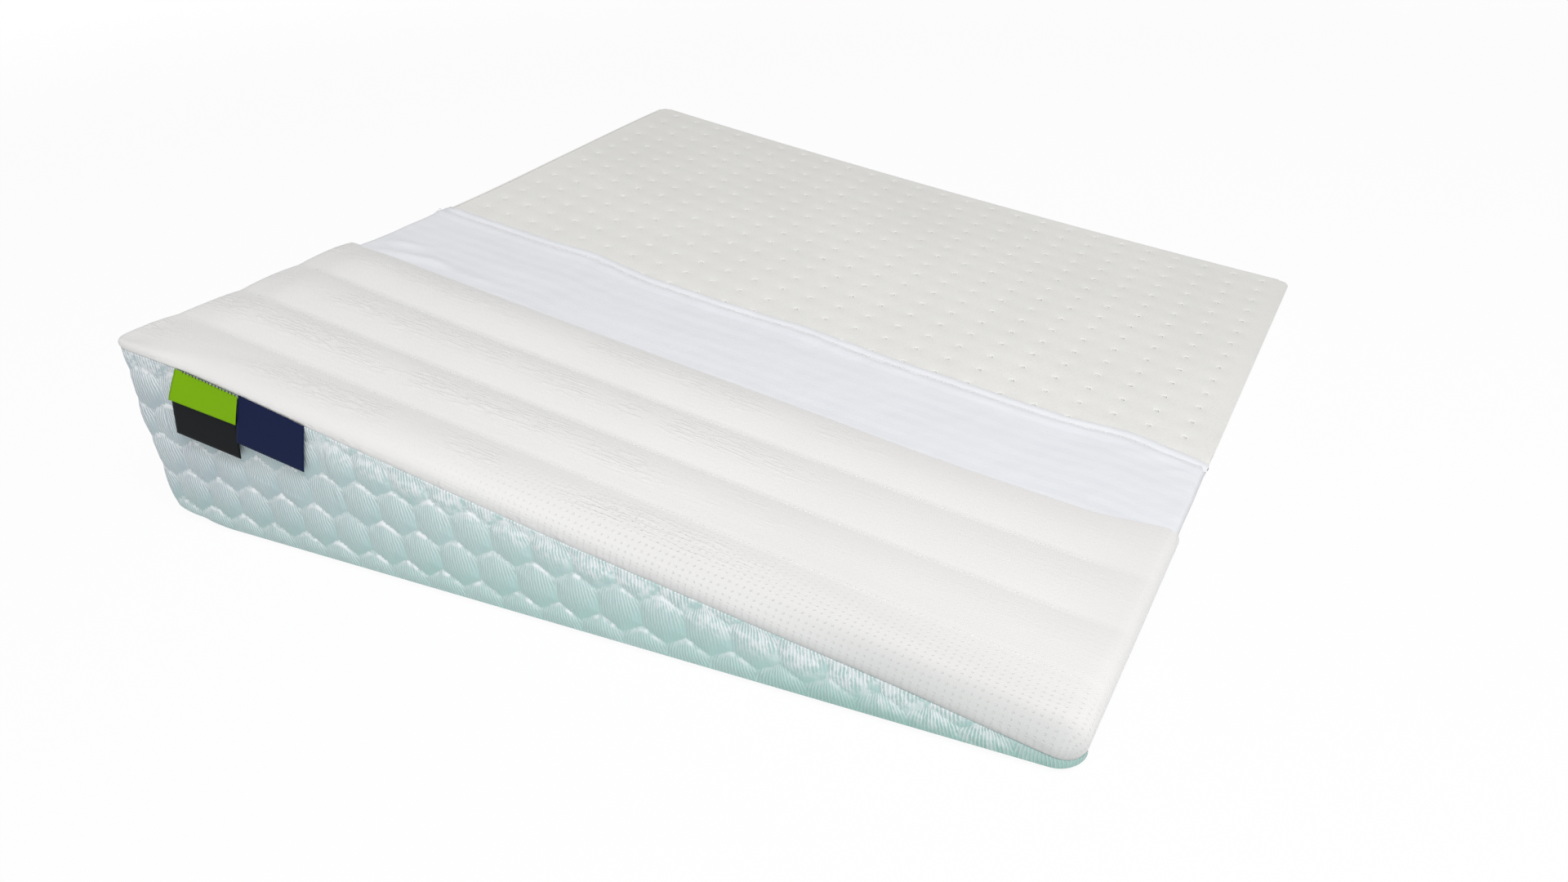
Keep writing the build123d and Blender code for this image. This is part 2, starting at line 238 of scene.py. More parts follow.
foam = Finish("foam", {"Roughness": 0.88, "Specular IOR Level": 0.25,
                       "Sheen Weight": 0.15, "Sheen Roughness": 0.6})
here = foam.here()
foam_cloud = foam.shared(cloud, Vector=here, Scale=9.0)
pores = tone(foam.tree, "ShaderNodeTexVoronoi", "Distance",
             {"Vector": here, "Scale": 620.0, "Randomness": 1.0})
pore = pores.rise(0.05, 0.34)
foam_tone = foam_cloud["Grain"].scaled(0.5, foam_cloud["Tone"] * 0.5)
foam_skin = pore.tint(foam_pore, foam_tone.tint(foam_grey, foam_pale))
inside_pin = tone(foam.tree, "ShaderNodeAttribute", "Fac", attribute_name="pin")
# Painted light: the walls inside the pin holes are made lighter than the foam's face, standing in for
# their lit far walls.
foam.put("Base Color", inside_pin.rise(0.35, 0.9).tint(foam_skin, pin_wall_painted_light))
foam.emboss(pore, 0.35, 0.0004)
foam.emboss(foam_cloud["Grain"], 0.25, 0.0006)


def verts_in(parts):
    """The vertices among a mesh operator's parts."""
    return [part for part in parts if isinstance(part, bmesh.types.BMVert)]


# One pitch of the pin pattern, copied across and back, then drawn out to the block's edges.
core = bmesh.new()
for radius in (pin_radius, pin_dish, pin_pitch / 2):
    bmesh.ops.create_circle(core, segments=12, radius=radius,
                            matrix=Matrix.Rotation(math.radians(15), 4, "Z"))
for vert in core.verts:
    if vert.co.length > 0.01:
        vert.co *= pin_pitch / 2 / max(abs(vert.co.x), abs(vert.co.y))
loops = [[e for e in core.edges if all(low < v.co.length < high for v in e.verts)]
         for low, high in ((0, pin_bound), (pin_bound, dish_bound), (dish_bound, 1))]
bmesh.ops.bridge_loops(core, edges=loops[0] + loops[1])
bmesh.ops.bridge_loops(core, edges=loops[1] + loops[2])
for count, step in ((pin_columns, Vector((pin_pitch, 0, 0))), (pin_rows, Vector((0, pin_pitch, 0)))):
    pattern = core.verts[:] + core.edges[:] + core.faces[:]
    for i in range(1, count):
        copied = bmesh.ops.duplicate(core, geom=pattern)["geom"]
        bmesh.ops.translate(core, verts=verts_in(copied), vec=step * i)
bmesh.ops.remove_doubles(core, verts=core.verts, dist=0.0002)
pin_half = pin_columns * pin_pitch / 2
bmesh.ops.translate(core, verts=core.verts, vec=(-pin_half + pin_pitch / 2,
                                                 pin_middle_y - (pin_rows - 1) * pin_pitch / 2, 0))
pin_front = pin_middle_y - pin_rows * pin_pitch / 2
pin_back = pin_middle_y + pin_rows * pin_pitch / 2
for side in (-1, 1):
    rim = [e for e in core.edges if all(abs(v.co.x - side * pin_half) < 1e-4 for v in e.verts)]
    drawn = bmesh.ops.extrude_edge_only(core, edges=rim)["geom"]
    bmesh.ops.translate(core, verts=verts_in(drawn), vec=(side * (core_half - pin_half), 0, 0))
for vert in core.verts:
    if abs(vert.co.y - pin_front) < 1e-4:
        vert.co.y = core_front
    if abs(vert.co.y - pin_back) < 1e-4:
        vert.co.y = core_back
strip = [e for e in core.edges if abs(e.verts[0].co.y - e.verts[1].co.y) < 1e-4
         and min(v.co.x for v in e.verts) < -core_half + 1e-4
         and max(v.co.x for v in e.verts) > -core_half + 0.005]
bmesh.ops.subdivide_edges(core, edges=strip, cuts=4, use_grid_fill=True)
rounded = [e for e in core.edges if e.is_boundary
           and all(abs(v.co.x) > core_half - 0.02 and abs(v.co.y) > core_back - 0.02 for v in e.verts)]
bmesh.ops.subdivide_edges(core, edges=rounded, cuts=3)
pin = core.verts.layers.float.new("pin")
for vert in core.verts:
    column = (vert.co.x / pin_pitch) % 1.0
    row = ((vert.co.y - pin_middle_y) / pin_pitch) % 1.0
    off = math.hypot(min(column, 1 - column), min(row, 1 - row)) * pin_pitch
    vert[pin] = 1.0 if off < pin_bound else 0.0
lower = set(core.verts)
bmesh.ops.extrude_face_region(core, geom=core.faces[:])


def at_rim(vert):
    """True on the outside of the block, where no pin has been."""
    near_end = abs(vert.co.x) > core_half - 1e-4
    return near_end or vert.co.y < core_front + 1e-4 or vert.co.y > core_back - 1e-4


top_rim = [e for e in core.edges if all(v not in lower and at_rim(v) for v in e.verts)
           and sum(all(v not in lower for v in f.verts) for f in e.link_faces) == 1]
for vert in core.verts:
    x, y = vert.co.x, vert.co.y
    dx = abs(x) - (core_half - core_corner)
    dy = abs(y - pin_middle_y) - (core_back - pin_middle_y - core_corner)
    if dx > 0 and dy > 0:
        shrink = max(dx, dy) / math.hypot(dx, dy)
        x = math.copysign(core_half - core_corner + dx * shrink, x)
        reach = core_back - pin_middle_y - core_corner + dy * shrink
        y = math.copysign(reach, y - pin_middle_y) + pin_middle_y
    if vert in lower:
        foot = core_foot if y < foot_step_y else 0.0
        if x < heel_x:
            foot += core_heel - math.sqrt(max(0.0, core_heel ** 2 - (x - heel_x) ** 2))
    if x > 0:
        x += 0.0050 * ease(-0.030, -0.020, y) * x / core_half
        if vert in lower:
            x -= 0.0052 * ease(0.33, 0.354, x)
    else:
        x += 0.0070 * ease(0.08, 0.36, y) * x / core_half + drawn_in(x, y)
    bow = (1 - (x / 0.36) ** 2) * ease(0.12, 0.375, y)
    lip = 0.0006 * vert[pin]
    vert.co = (x, y - 0.005 * bow, foot if vert in lower else top_z(x) - 0.003 * bow - lip)
bmesh.ops.bevel(core, geom=top_rim, offset=0.0026, segments=3, profile=0.5, affect="EDGES", material=-1)
bmesh.ops.recalc_face_normals(core, faces=core.faces)
foam_block = finished(core, "foam_block", "core", foam, ["foam_core"], sharp=48)

# Liner: a slip of striped white cotton round the core, sewn from a top, a base and three gussets.
# It is drawn on from the front, so its back edge is open and ends in a stitched hem.
# Where the cover has been pulled over it near the tall end the cotton is rucked into short folds.
front_y = -0.375
corner_radius = 0.018
corner_x = half_length - corner_radius
corner_y = front_y + corner_radius
heel_radius = 0.020
liner_inset = 0.0043
liner_half = 0.3557
liner_foot = 0.0044
liner_rise = 0.0013
cotton_thickness = 0.0007
gusset_thickness = 0.0005
sewn_roll = 0.003
stripe_pitch = 0.015
rucks = (
    ((-0.347, -0.120), (-0.300, -0.104), 0.0042, 0.0016),
    ((-0.334, -0.135), (-0.272, -0.124), 0.0050, 0.0022),
    ((-0.300, -0.118), (-0.262, -0.128), 0.0040, 0.0010),
    ((-0.262, -0.131), (-0.205, -0.127), 0.0040, 0.0010),
    ((0.330, -0.060), (0.352, -0.052), 0.0050, 0.0012),
    ((0.300, -0.050), (0.350, -0.036), 0.0060, 0.0010),
)


def face_out(bm, facing):
    """Turns a sheet's faces to the side that shows."""
    bm.normal_update()
    if sum((face.normal.dot(Vector(facing)) for face in bm.faces)) < 0:
        bmesh.ops.reverse_faces(bm, faces=bm.faces)


def cloth_grid(columns, rows, lay, flat, facing):
    """A sheet of quads, its weave at its flat size: lay(u, v) places each point of the unit square."""
    bm = bmesh.new()
    bmesh.ops.create_grid(bm, x_segments=columns, y_segments=rows, size=0.5)
    weave = bm.loops.layers.uv.new("weave")
    for face in bm.faces:
        for loop in face.loops:
            loop[weave].uv = ((loop.vert.co.x + 0.5) * flat[0], (loop.vert.co.y + 0.5) * flat[1])
    for vert in bm.verts:
        vert.co = lay(vert.co.x + 0.5, vert.co.y + 0.5)
    face_out(bm, facing)
    return bm


def thicken(piece, thickness):
    """Gives a sheet its thickness, on its inner side."""
    layer = piece.modifiers.new("thickness", "SOLIDIFY")
    layer.thickness = thickness
    layer.offset = -1


def cloth_piece(bm, name, body, finish, nodes, thickness, flat):
    """A panel of cloth with its thickness and what it lies on; the size it was cut to (flat) is not used.
    """
    piece = finished(bm, name, body, finish, nodes)
    thicken(piece, thickness)


def round_corner(x, y):
    """Draws a point near a front corner in to the corner's curve, and says how far out it lay."""
    dx, dy = abs(x) - corner_x, corner_y - y
    if dx > 0 and dy > 0:
        shrink = max(dx, dy) / math.hypot(dx, dy)
        x = math.copysign(corner_x + dx * shrink, x)
        y = corner_y - dy * shrink
    return x, y, max(dx, dy)


def front_path(share, inset, squareness=2.0):
    """Point and outward direction on the plan, from the tall corner's start to the thin corner's end."""
    radius = corner_radius - inset
    arc = math.pi / 2 * radius
    straight = length - 2 * corner_radius
    run = share * (2 * arc + straight)
    if arc < run < arc + straight:
        return Vector((run - arc - straight / 2, front_y + inset, 0)), Vector((0, -1, 0))
    turn = math.pi + run / radius if run <= arc else 1.5 * math.pi + (run - arc - straight) / radius
    out = Vector((math.cos(turn), math.sin(turn), 0))
    if run <= arc:
        radius *= (abs(out.x) ** squareness + abs(out.y) ** squareness) ** (-1 / squareness)
    middle = Vector((math.copysign(straight / 2, run - arc - 1e-6), corner_y, 0))
    return middle + out * radius, out


def wall_point(spot, out, foot, bend, lap, top, share):
    """Point on a wall's section from under its foot up to its top, which way it faces, and its rise."""
    arc = math.pi / 2 * bend
    up = share * (lap + arc + max(0.0, top - foot - bend))
    turn = min(math.pi / 2, max(0.0, (up - lap) / bend))
    point = spot - out * (bend * (1 - math.sin(turn)) + max(0.0, lap - up))
    point.z = foot + bend * (1 - math.cos(turn)) + max(0.0, up - lap - arc)
    return point, out * math.sin(turn) - Vector((0, 0, math.cos(turn))), up - lap - arc + bend


def ruck_height(x, y):
    """Height of the short folds in the liner's top."""
    total = 0.0
    for (ax, ay), (bx, by), reach, height in rucks:
        along = ((x - ax) * (bx - ax) + (y - ay) * (by - ay)) / ((bx - ax) ** 2 + (by - ay) ** 2)
        share = min(1.0, max(0.0, along))
        off = math.hypot(x - ax - share * (bx - ax), y - ay - share * (by - ay))
        total += height * math.exp(-(off / reach) ** 2) * (0.35 + 0.65 * math.sin(math.pi * share))
    return total


def hem_edge(x):
    """How far back the liner's edge lies, which wavers where the cotton is eased or drawn."""
    back = 0.0035 * math.exp(-((x + 0.19) / 0.035) ** 2) + 0.0040 * math.exp(-((x - 0.02) / 0.045) ** 2)
    back += 0.0085 * math.exp(-((x - 0.298) / 0.035) ** 2)
    return hem_y - 0.0022 - 0.0062 * ease(-0.19, -0.11, x) + back


def spread_out(x, y):
    """How far the liner's thin edge stands out between the cover's mouth and the hem."""
    return 0.0034 * ease(0.30, liner_half, x) * ease(-0.175, -0.145, y)


# Plain weave shared by the woven finishes: threads that pass over and under one another.
plain_weave, weave_in = new_group(
    "plain_weave", {"Vector": "NodeSocketVector", "Pitch": "NodeSocketFloat"}, ("Height", "Warp"))
turn_rate = tone(plain_weave, "ShaderNodeMath", 0, {0: math.pi, 1: weave_in["Pitch"]}, operation="DIVIDE")
across, along = [(axis * turn_rate).step("SINE") for axis in weave_in["Vector"].axes()[:2]]
node(plain_weave, "NodeGroupOutput", {"Height": (across * along).scaled(0.5, 0.5),
                                      "Warp": across.step("ABSOLUTE")})

cotton = Finish("liner_cotton", {"Roughness": 0.72, "Specular IOR Level": 0.35,
                                 "Sheen Weight": 0.25, "Sheen Roughness": 0.5})
flat_at = cotton.flat()
cotton_weave = cotton.shared(plain_weave, Vector=flat_at, Pitch=0.0009)
cotton_cloud = cotton.shared(cloud, Vector=cotton.here(), Scale=14.0)
wander = cotton_cloud["Tone"].scaled(0.35, flat_at.axes()[1] * (2 * math.pi / stripe_pitch))
thin_line = (wander * 3.0).step("SINE") * 0.45
stripe = (wander.step("SINE") + thin_line).rise(-0.9, 0.9)
white_cotton = cotton_cloud["Tone"].tint((0.828, 0.838, 0.880, 1), (0.850, 0.858, 0.893, 1))
cotton.put("Base Color", stripe.tint(white_cotton, (0.856, 0.864, 0.897, 1)))
cotton.put("Roughness", stripe.scaled(-0.14, 0.78))
cotton.emboss(cotton_weave["Height"], 0.20, 0.0003)
cotton.emboss(stripe, 0.10, 0.0004)
cotton.emboss(cotton_cloud["Tone"], 0.20, 0.004)


def liner_top_at(u, v):
    """The top panel: flat on the core, rolled down at its sewn edges, with rucks and a little slack."""
    x = (2 * u - 1) * (half_length - liner_inset)
    y = front_y + liner_inset + v * (hem_edge(x) - front_y - liner_inset)
    x, y, around = round_corner(x, y)
    out = around - (corner_radius - liner_inset - sewn_roll)
    drop = sewn_roll - math.sqrt(max(0.0, sewn_roll ** 2 - min(out, sewn_roll) ** 2)) if out > 0 else 0.0
    slack = 0.0006 * noise.noise(Vector((x * 16, y * 42, 3.1)))
    slack += 0.0004 * noise.noise(Vector((x * 60, y * 50, 7.7)))
    free = ease(-0.30, -0.14, y)
    puff = 0.0019 * math.exp(-((hem_edge(x) - y - 0.0165) / 0.0042) ** 2)
    puff *= 1 + 0.5 * noise.noise(Vector((x * 45, 0.0, 2.2)))
    high = top_z(x, liner_rise + ruck_height(x, y) + puff + 0.0004 + slack * free)
    return Vector((x + drawn_in(x, y) + spread_out(x, y), y, high - drop))


cloth_piece(cloth_grid(200, 100, liner_top_at, (0.7114, 0.3487), (0, 0, 1)),
            "liner_top_cloth", "liner", cotton, ["liner_top"], cotton_thickness,
            flat=(0.735, 0.36))


def liner_base_at(u, v):
    """The base panel, under the core from the heel to the thin end."""
    x = heel_x + 0.001 + u * (half_length - liner_inset - heel_x - 0.002)
    y = front_y + liner_inset + 0.002 + v * (hem_y - front_y - liner_inset - 0.002)
    x, y = round_corner(x, y)[:2]
    return Vector((x, y, liner_foot + 0.00015 * noise.noise(Vector((x * 30, y * 30, 1.0)))))


cloth_piece(cloth_grid(120, 60, liner_base_at, (0.695, 0.3487), (0, 0, -1)),
            "liner_base_cloth", "liner", cotton, ["liner_base"], 0.0006,
            flat=(0.72, 0.36))


def liner_front_at(u, v):
    """The front gusset, round both front corners, with the heel's bend running out along it."""
    spot, out = front_path(u, liner_inset)
    bend = 0.004 + (heel_radius - liner_inset - 0.004) * (1 - ease(0.0, 0.08, u))
    top = top_z(spot.x, 0.0004) - 0.002
    point, facing = wall_point(spot, out, liner_foot, bend, 0.002, top, v)[:2]
    return point - facing * (0.0003 + 0.0003 * noise.noise(point * 22))


cloth_piece(cloth_grid(220, 30, liner_front_at, (0.73, 0.15), (0, -1, 0)),
            "liner_front_cloth", "liner", cotton, ["liner_front_gusset"], gusset_thickness,
            flat=(0.75, 0.16))


def liner_tall_at(u, v):
    """The tall end's gusset, up the end from under the heel."""
    y = hem_edge(-liner_half) - u * (hem_edge(-liner_half) - front_y - corner_radius)
    spot = Vector((-half_length + liner_inset, y, 0))
    point, facing = wall_point(spot, Vector((-1, 0, 0)), liner_foot, heel_radius - liner_inset, 0.0,
                               top_z(-liner_half, 0.0004) - 0.002, v)[:2]
    inward = Vector((drawn_in(point.x, y), 0, 0))
    return point - facing * (0.0003 + 0.0004 * noise.noise(point * 18)) + inward


cloth_piece(cloth_grid(90, 44, liner_tall_at, (0.335, 0.155), (-1, 0, 0)),
            "liner_tall_cloth", "liner", cotton, ["liner_tall_gusset"], gusset_thickness,
            flat=(0.345, 0.165))


def liner_thin_at(u, v):
    """The thin end's gusset, a narrow strip."""
    y = corner_y + u * (hem_edge(liner_half) - front_y - corner_radius)
    spot = Vector((half_length - liner_inset, y, 0))
    point, facing = wall_point(spot, Vector((1, 0, 0)), 0.0048, 0.003, 0.002,
                               top_z(liner_half, 0.0004) - 0.002, v)[:2]
    shift = spread_out(liner_half, y) * v - 0.0036 * (1 - v)
    return point - facing * (0.0003 + 0.0002 * noise.noise(point * 25)) + Vector((shift, 0, 0))


cloth_piece(cloth_grid(90, 10, liner_thin_at, (0.335, 0.017), (1, 0, 0)),
            "liner_thin_cloth", "liner", cotton, ["liner_thin_gusset"], gusset_thickness,
            flat=(0.345, 0.018))

# Liner hems: the cotton is turned over once at the open edge and sewn down.
# The turned edge stands up as a soft roll behind the row of stitches, and puckers between them.
hem_width = 0.012
hem_thickness = 0.0010
hem_foot = 0.0043
hem_proud = 0.0006
thin_proud = 0.0008
stitch_back = 0.0104
into_panel = Vector((0, -1, 0))
slope_up = Vector((math.sin(lean), 0, math.cos(lean)))


def hem_profile(v, slack):
    """Distance in from the edge and height over the panel, once round the turned hem's section."""
    turn = 2 * math.pi * v
    across = hem_width / 2 * (1 - math.cos(turn))
    ridge = 0.0009 * math.exp(-((across - 0.0050) / 0.0036) ** 2)
    pinch = 0.0008 * math.exp(-((across - stitch_back) / 0.0016) ** 2)
    height = hem_thickness + ridge * (1 + slack) - pinch
    return across, height * max(0.0, math.sin(turn)) ** 0.35 if turn < math.pi else 0.0


def hem_strip(name, count, base_at, over, nodes, flat):
    """A turned hem along base_at(u), into the panel one way, and over it the way that over(u) says."""
    def lay(u, v):
        point = base_at(u)
        slack = 0.5 * noise.noise(point * 55) + 0.35 * noise.noise(point * 140)
        across, height = hem_profile(v, slack)
        wave = 0.0012 * noise.noise(point * 24) + 0.0006 * noise.noise(point * 75)
        wave *= 1 - 0.6 * across / hem_width
        return point + into_panel * (across + wave) + over(u) * height
    bm = cloth_grid(count, 20, lay, flat, (0, 0, 0))
    bmesh.ops.remove_doubles(bm, verts=bm.verts, dist=0.00002)
    bmesh.ops.recalc_face_normals(bm, faces=bm.faces)
    hem = finished(bm, name, "liner", cotton, nodes)


def top_hem_at(u):
    """The hem's back edge across the top, from the tall end to the thin end."""
    x = (2 * u - 1) * 0.3562
    y = hem_edge(x) + hem_proud
    sunk = 0.0012 * ease(0.97, 1.0, 2 * u - 1) + 0.0030 * ease(0.96, 1.0, 1 - 2 * u)
    return Vector((x + drawn_in(x, y) + spread_out(x, y), y, top_z(x, liner_rise + 0.0002) - sunk))


def base_hem_at(u):
    """The hem's back edge under the core."""
    return Vector((heel_x + 0.001 + u * 0.694, hem_y, hem_foot))


def tall_hem_at(u):
    """The tall end's hem, from under the heel to the top."""
    spot = Vector((-half_length + liner_inset, hem_edge(-liner_half) + hem_proud, 0))
    point = wall_point(spot, Vector((-1, 0, 0)), hem_foot, heel_radius - liner_inset, 0.0,
                       top_z(-liner_half) - 0.001, u)[0]
    return point + Vector((drawn_in(point.x, point.y), 0, 0))


def tall_hem_out(u):
    """Outward at the same place, round the heel and then level."""
    ahead = tall_hem_at(min(1.0, u + 0.002)) - tall_hem_at(max(0.0, u - 0.002))
    return Vector((-ahead.z, 0, ahead.x)).normalized() * 0.8


def thin_hem_at(u):
    """The thin end's short hem, leaning out as it goes up."""
    return Vector((0.3587 - 0.0066 * (1 - u), hem_edge(liner_half) + thin_proud, 0.0046 + u * 0.0135))


hem_strip("hem_top_cloth", 240, top_hem_at, lambda u: slope_up,
          ["liner_hem_top"], (0.72, 0.0135))
hem_strip("hem_base_cloth", 120, base_hem_at, lambda u: Vector((0, 0, -0.4)),
          ["liner_hem_base"], (0.70, 0.0125))
hem_strip("hem_tall_cloth", 60, tall_hem_at, tall_hem_out,
          ["liner_hem_tall"], (0.155, 0.0135))
hem_strip("hem_thin_cloth", 12, thin_hem_at, lambda u: Vector((0.7, 0, 0)),
          ["liner_hem_thin"], (0.0140, 0.026))

# Hem stitching: one row of white lockstitch through all four hems, 3 mm to the stitch.
# Each stitch is sunk at both ends where the thread goes through.
stitch_run = 0.003
stitch_rise = 0.0009
thread_gauge = 0.00035
thread = Finish("thread", {"Roughness": 0.55, "Specular IOR Level": 0.4,
                           "Sheen Weight": 0.3, "Sheen Roughness": 0.4})
ply = tone(thread.tree, "ShaderNodeTexWave", "Fac",
           {"Vector": thread.here(), "Scale": 900.0, "Distortion": 2.0}, bands_direction="DIAGONAL")
thread.put("Base Color", ply.tint((0.80, 0.80, 0.80, 1), (0.90, 0.90, 0.885, 1)))
thread.emboss(ply, 0.4, 0.0002)

bead = bmesh.new()
bmesh.ops.create_uvsphere(bead, u_segments=6, v_segments=5, radius=1.0,
                          matrix=Matrix.Rotation(math.pi / 2, 4, "Y"))
bead_mesh = bpy.data.meshes.new("bead")
bead.to_mesh(bead_mesh)
bead.free()


def stitch(bm, start, end, up, gauge):
    """One stitch: a few-sided bead drawn out between two needle holes."""
    ahead = end - start
    aside = up.cross(ahead).normalized()
    turn = Matrix((ahead * 0.47, aside * gauge, up.normalized() * gauge)).transposed()
    laid = bead_mesh.copy()
    laid.transform(Matrix.Translation((start + end) / 2) @ turn.to_4x4())
    bm.from_mesh(laid)
    bpy.data.meshes.remove(laid)


stitches = bmesh.new()
for i in range(236):
    x0, x1 = -0.354 + i * stitch_run, -0.354 + (i + 1) * stitch_run
    ends = [Vector((x, hem_edge(x) + hem_proud - stitch_back, top_z(x, liner_rise + stitch_rise)))
            for x in (x0, x1)]
    stitch(stitches, ends[0], ends[1], slope_up, thread_gauge)
for i in range(50):
    low, high = tall_hem_at(i / 50), tall_hem_at((i + 1) / 50)
    out = tall_hem_out((i + 0.5) / 50)
    set_in = Vector((0, -stitch_back, 0))
    ends = [hole + out * stitch_rise + set_in for hole in (low, high)]
    stitch(stitches, ends[0], ends[1], out, thread_gauge)
for i in range(230):
    x0 = heel_x + 0.002 + i * stitch_run
    ends = [Vector((x, hem_y - stitch_back, 0.0038)) for x in (x0, x0 + stitch_run)]
    stitch(stitches, ends[0], ends[1], Vector((0, 0, -1)), thread_gauge)
for i in range(4):
    spot = Vector((0.3532 + i * 0.0015, hem_edge(liner_half) + thin_proud - stitch_back,
                   0.0052 + i * stitch_run))
    stitch(stitches, spot, spot + Vector((0.0015, 0, stitch_run)), Vector((1, 0, 0)), thread_gauge)
finished(stitches, "hem_thread", "liner", thread, ["hem_stitching"])

# Cover scrim: the thin woven backing under the wadding, which slides on the liner.
# It is caught in the seam all round and by every row of quilting.
cover_rise = 0.0016
mouth_y = -0.143
scrim_inset = 0.0080
scrim = Finish("scrim", {"Roughness": 0.8, "Specular IOR Level": 0.25})
scrim_weave = scrim.shared(plain_weave, Vector=scrim.flat(), Pitch=0.0016)
scrim.put("Base Color", scrim_weave["Height"].tint((0.74, 0.73, 0.69, 1), (0.86, 0.85, 0.82, 1)))
scrim.emboss(scrim_weave["Height"], 0.5, 0.0005)


def mouth_edge(x):
    """How far back the cover's open edge lies: forward in the middle, and back at the thin end."""
    bow = 0.008 * (1 - ((x - 0.10) / 0.46) ** 2) + 0.003 * math.exp(-((x - 0.19) / 0.09) ** 2)
    return mouth_y + 0.003 - bow + 0.012 * ease(0.295, 0.365, x)


def scrim_at(u, v):
    """The backing, a hair over the liner."""
    x = (2 * u - 1) * 0.3520
    y = front_y + scrim_inset + v * (mouth_edge(x) - 0.004 - front_y - scrim_inset)
    x, y = round_corner(x, y)[:2]
    lift = 0.0002 * noise.noise(Vector((x * 25, y * 40, 5.0)))
    return Vector((x, y, top_z(x, cover_rise + 0.0005 + lift)))


cloth_piece(cloth_grid(120, 44, scrim_at, (0.704, 0.224), (0, 0, -1)),
            "scrim_sheet", "cover", scrim, ["top_panel_scrim"], 0.0003,
            flat=(0.72, 0.235))

# Cover top panel: ivory knit over wadding, quilted in four long channels that run down the slope.
# The knit is eased into the sewn lines, so it swells between them and crinkles beside them.
# Its front and ends roll down to the seam, and its open edge is turned under.
crown_height = 0.0104
valley_height = 0.0035
channel_round = 0.85
sewn_swell = 0.84
front_swell = 0.80
seam_tall_z = 0.147
seam_thin_z = 0.009
seam_middle_z = (seam_tall_z + seam_thin_z) / 2
seam_fall = (seam_thin_z - seam_tall_z) / length
edge_roll = 0.016
edge_run = 0.010
full_turn = 2.0
tall_squareness = 4.5
thin_squareness = 2.2
tall_bulge = 0.0035
rows_in = (10, 18, 16, 16, 16, 10)
knit_columns = 228


def seam_z(x):
    """Height of the seam between the top panel and the borders, which wavers a little from a line."""
    waver = 0.0023 * math.exp(-((x + 0.30) / 0.09) ** 2) - 0.0016 * math.exp(-((x - 0.01) / 0.12) ** 2)
    waver += 0.0013 * math.exp(-((x - 0.25) / 0.06) ** 2)
    return seam_middle_z - x * (seam_tall_z - seam_thin_z) / length + waver


def sewn_line(index, x):
    """Where a row of quilting lies: 0 is the front edge, 4 is the open edge."""
    if index == 4:
        return mouth_edge(x)
    wave = (1 - ((x - 0.05) / 0.42) ** 2)
    start = (front_y, -0.3185, -0.2610, -0.1985)[index]
    return start - (0.0, 0.002, 0.004, 0.009)[index] * wave


def shallow(x, band, share):
    """How far the front row of quilting is lost in the swell, which grows away from the tall end."""
    near = ease(0.25, 1.0, share) if band == 1 else 1 - ease(0.0, 0.55, share) if band == 2 else 0.0
    return near * (0.62 * ease(-0.30, 0.02, x) + 0.24 * ease(-0.02, 0.16, x))


def channel_depth(x):
    """How full the channels are swollen: less and less towards the thin end."""
    return (crown_height - valley_height) * (1 - 0.62 * ease(-0.15, 0.32, x))


def corner_out(point):
    """How far the tall front corner swells out, more towards the top."""
    near = ease(0.29, 0.355, -point.x) * (1 - ease(-0.355, -0.29, point.y))
    return Vector((-0.0010, -0.0020, 0)) * near * ease(0.03, seam_tall_z, point.z)


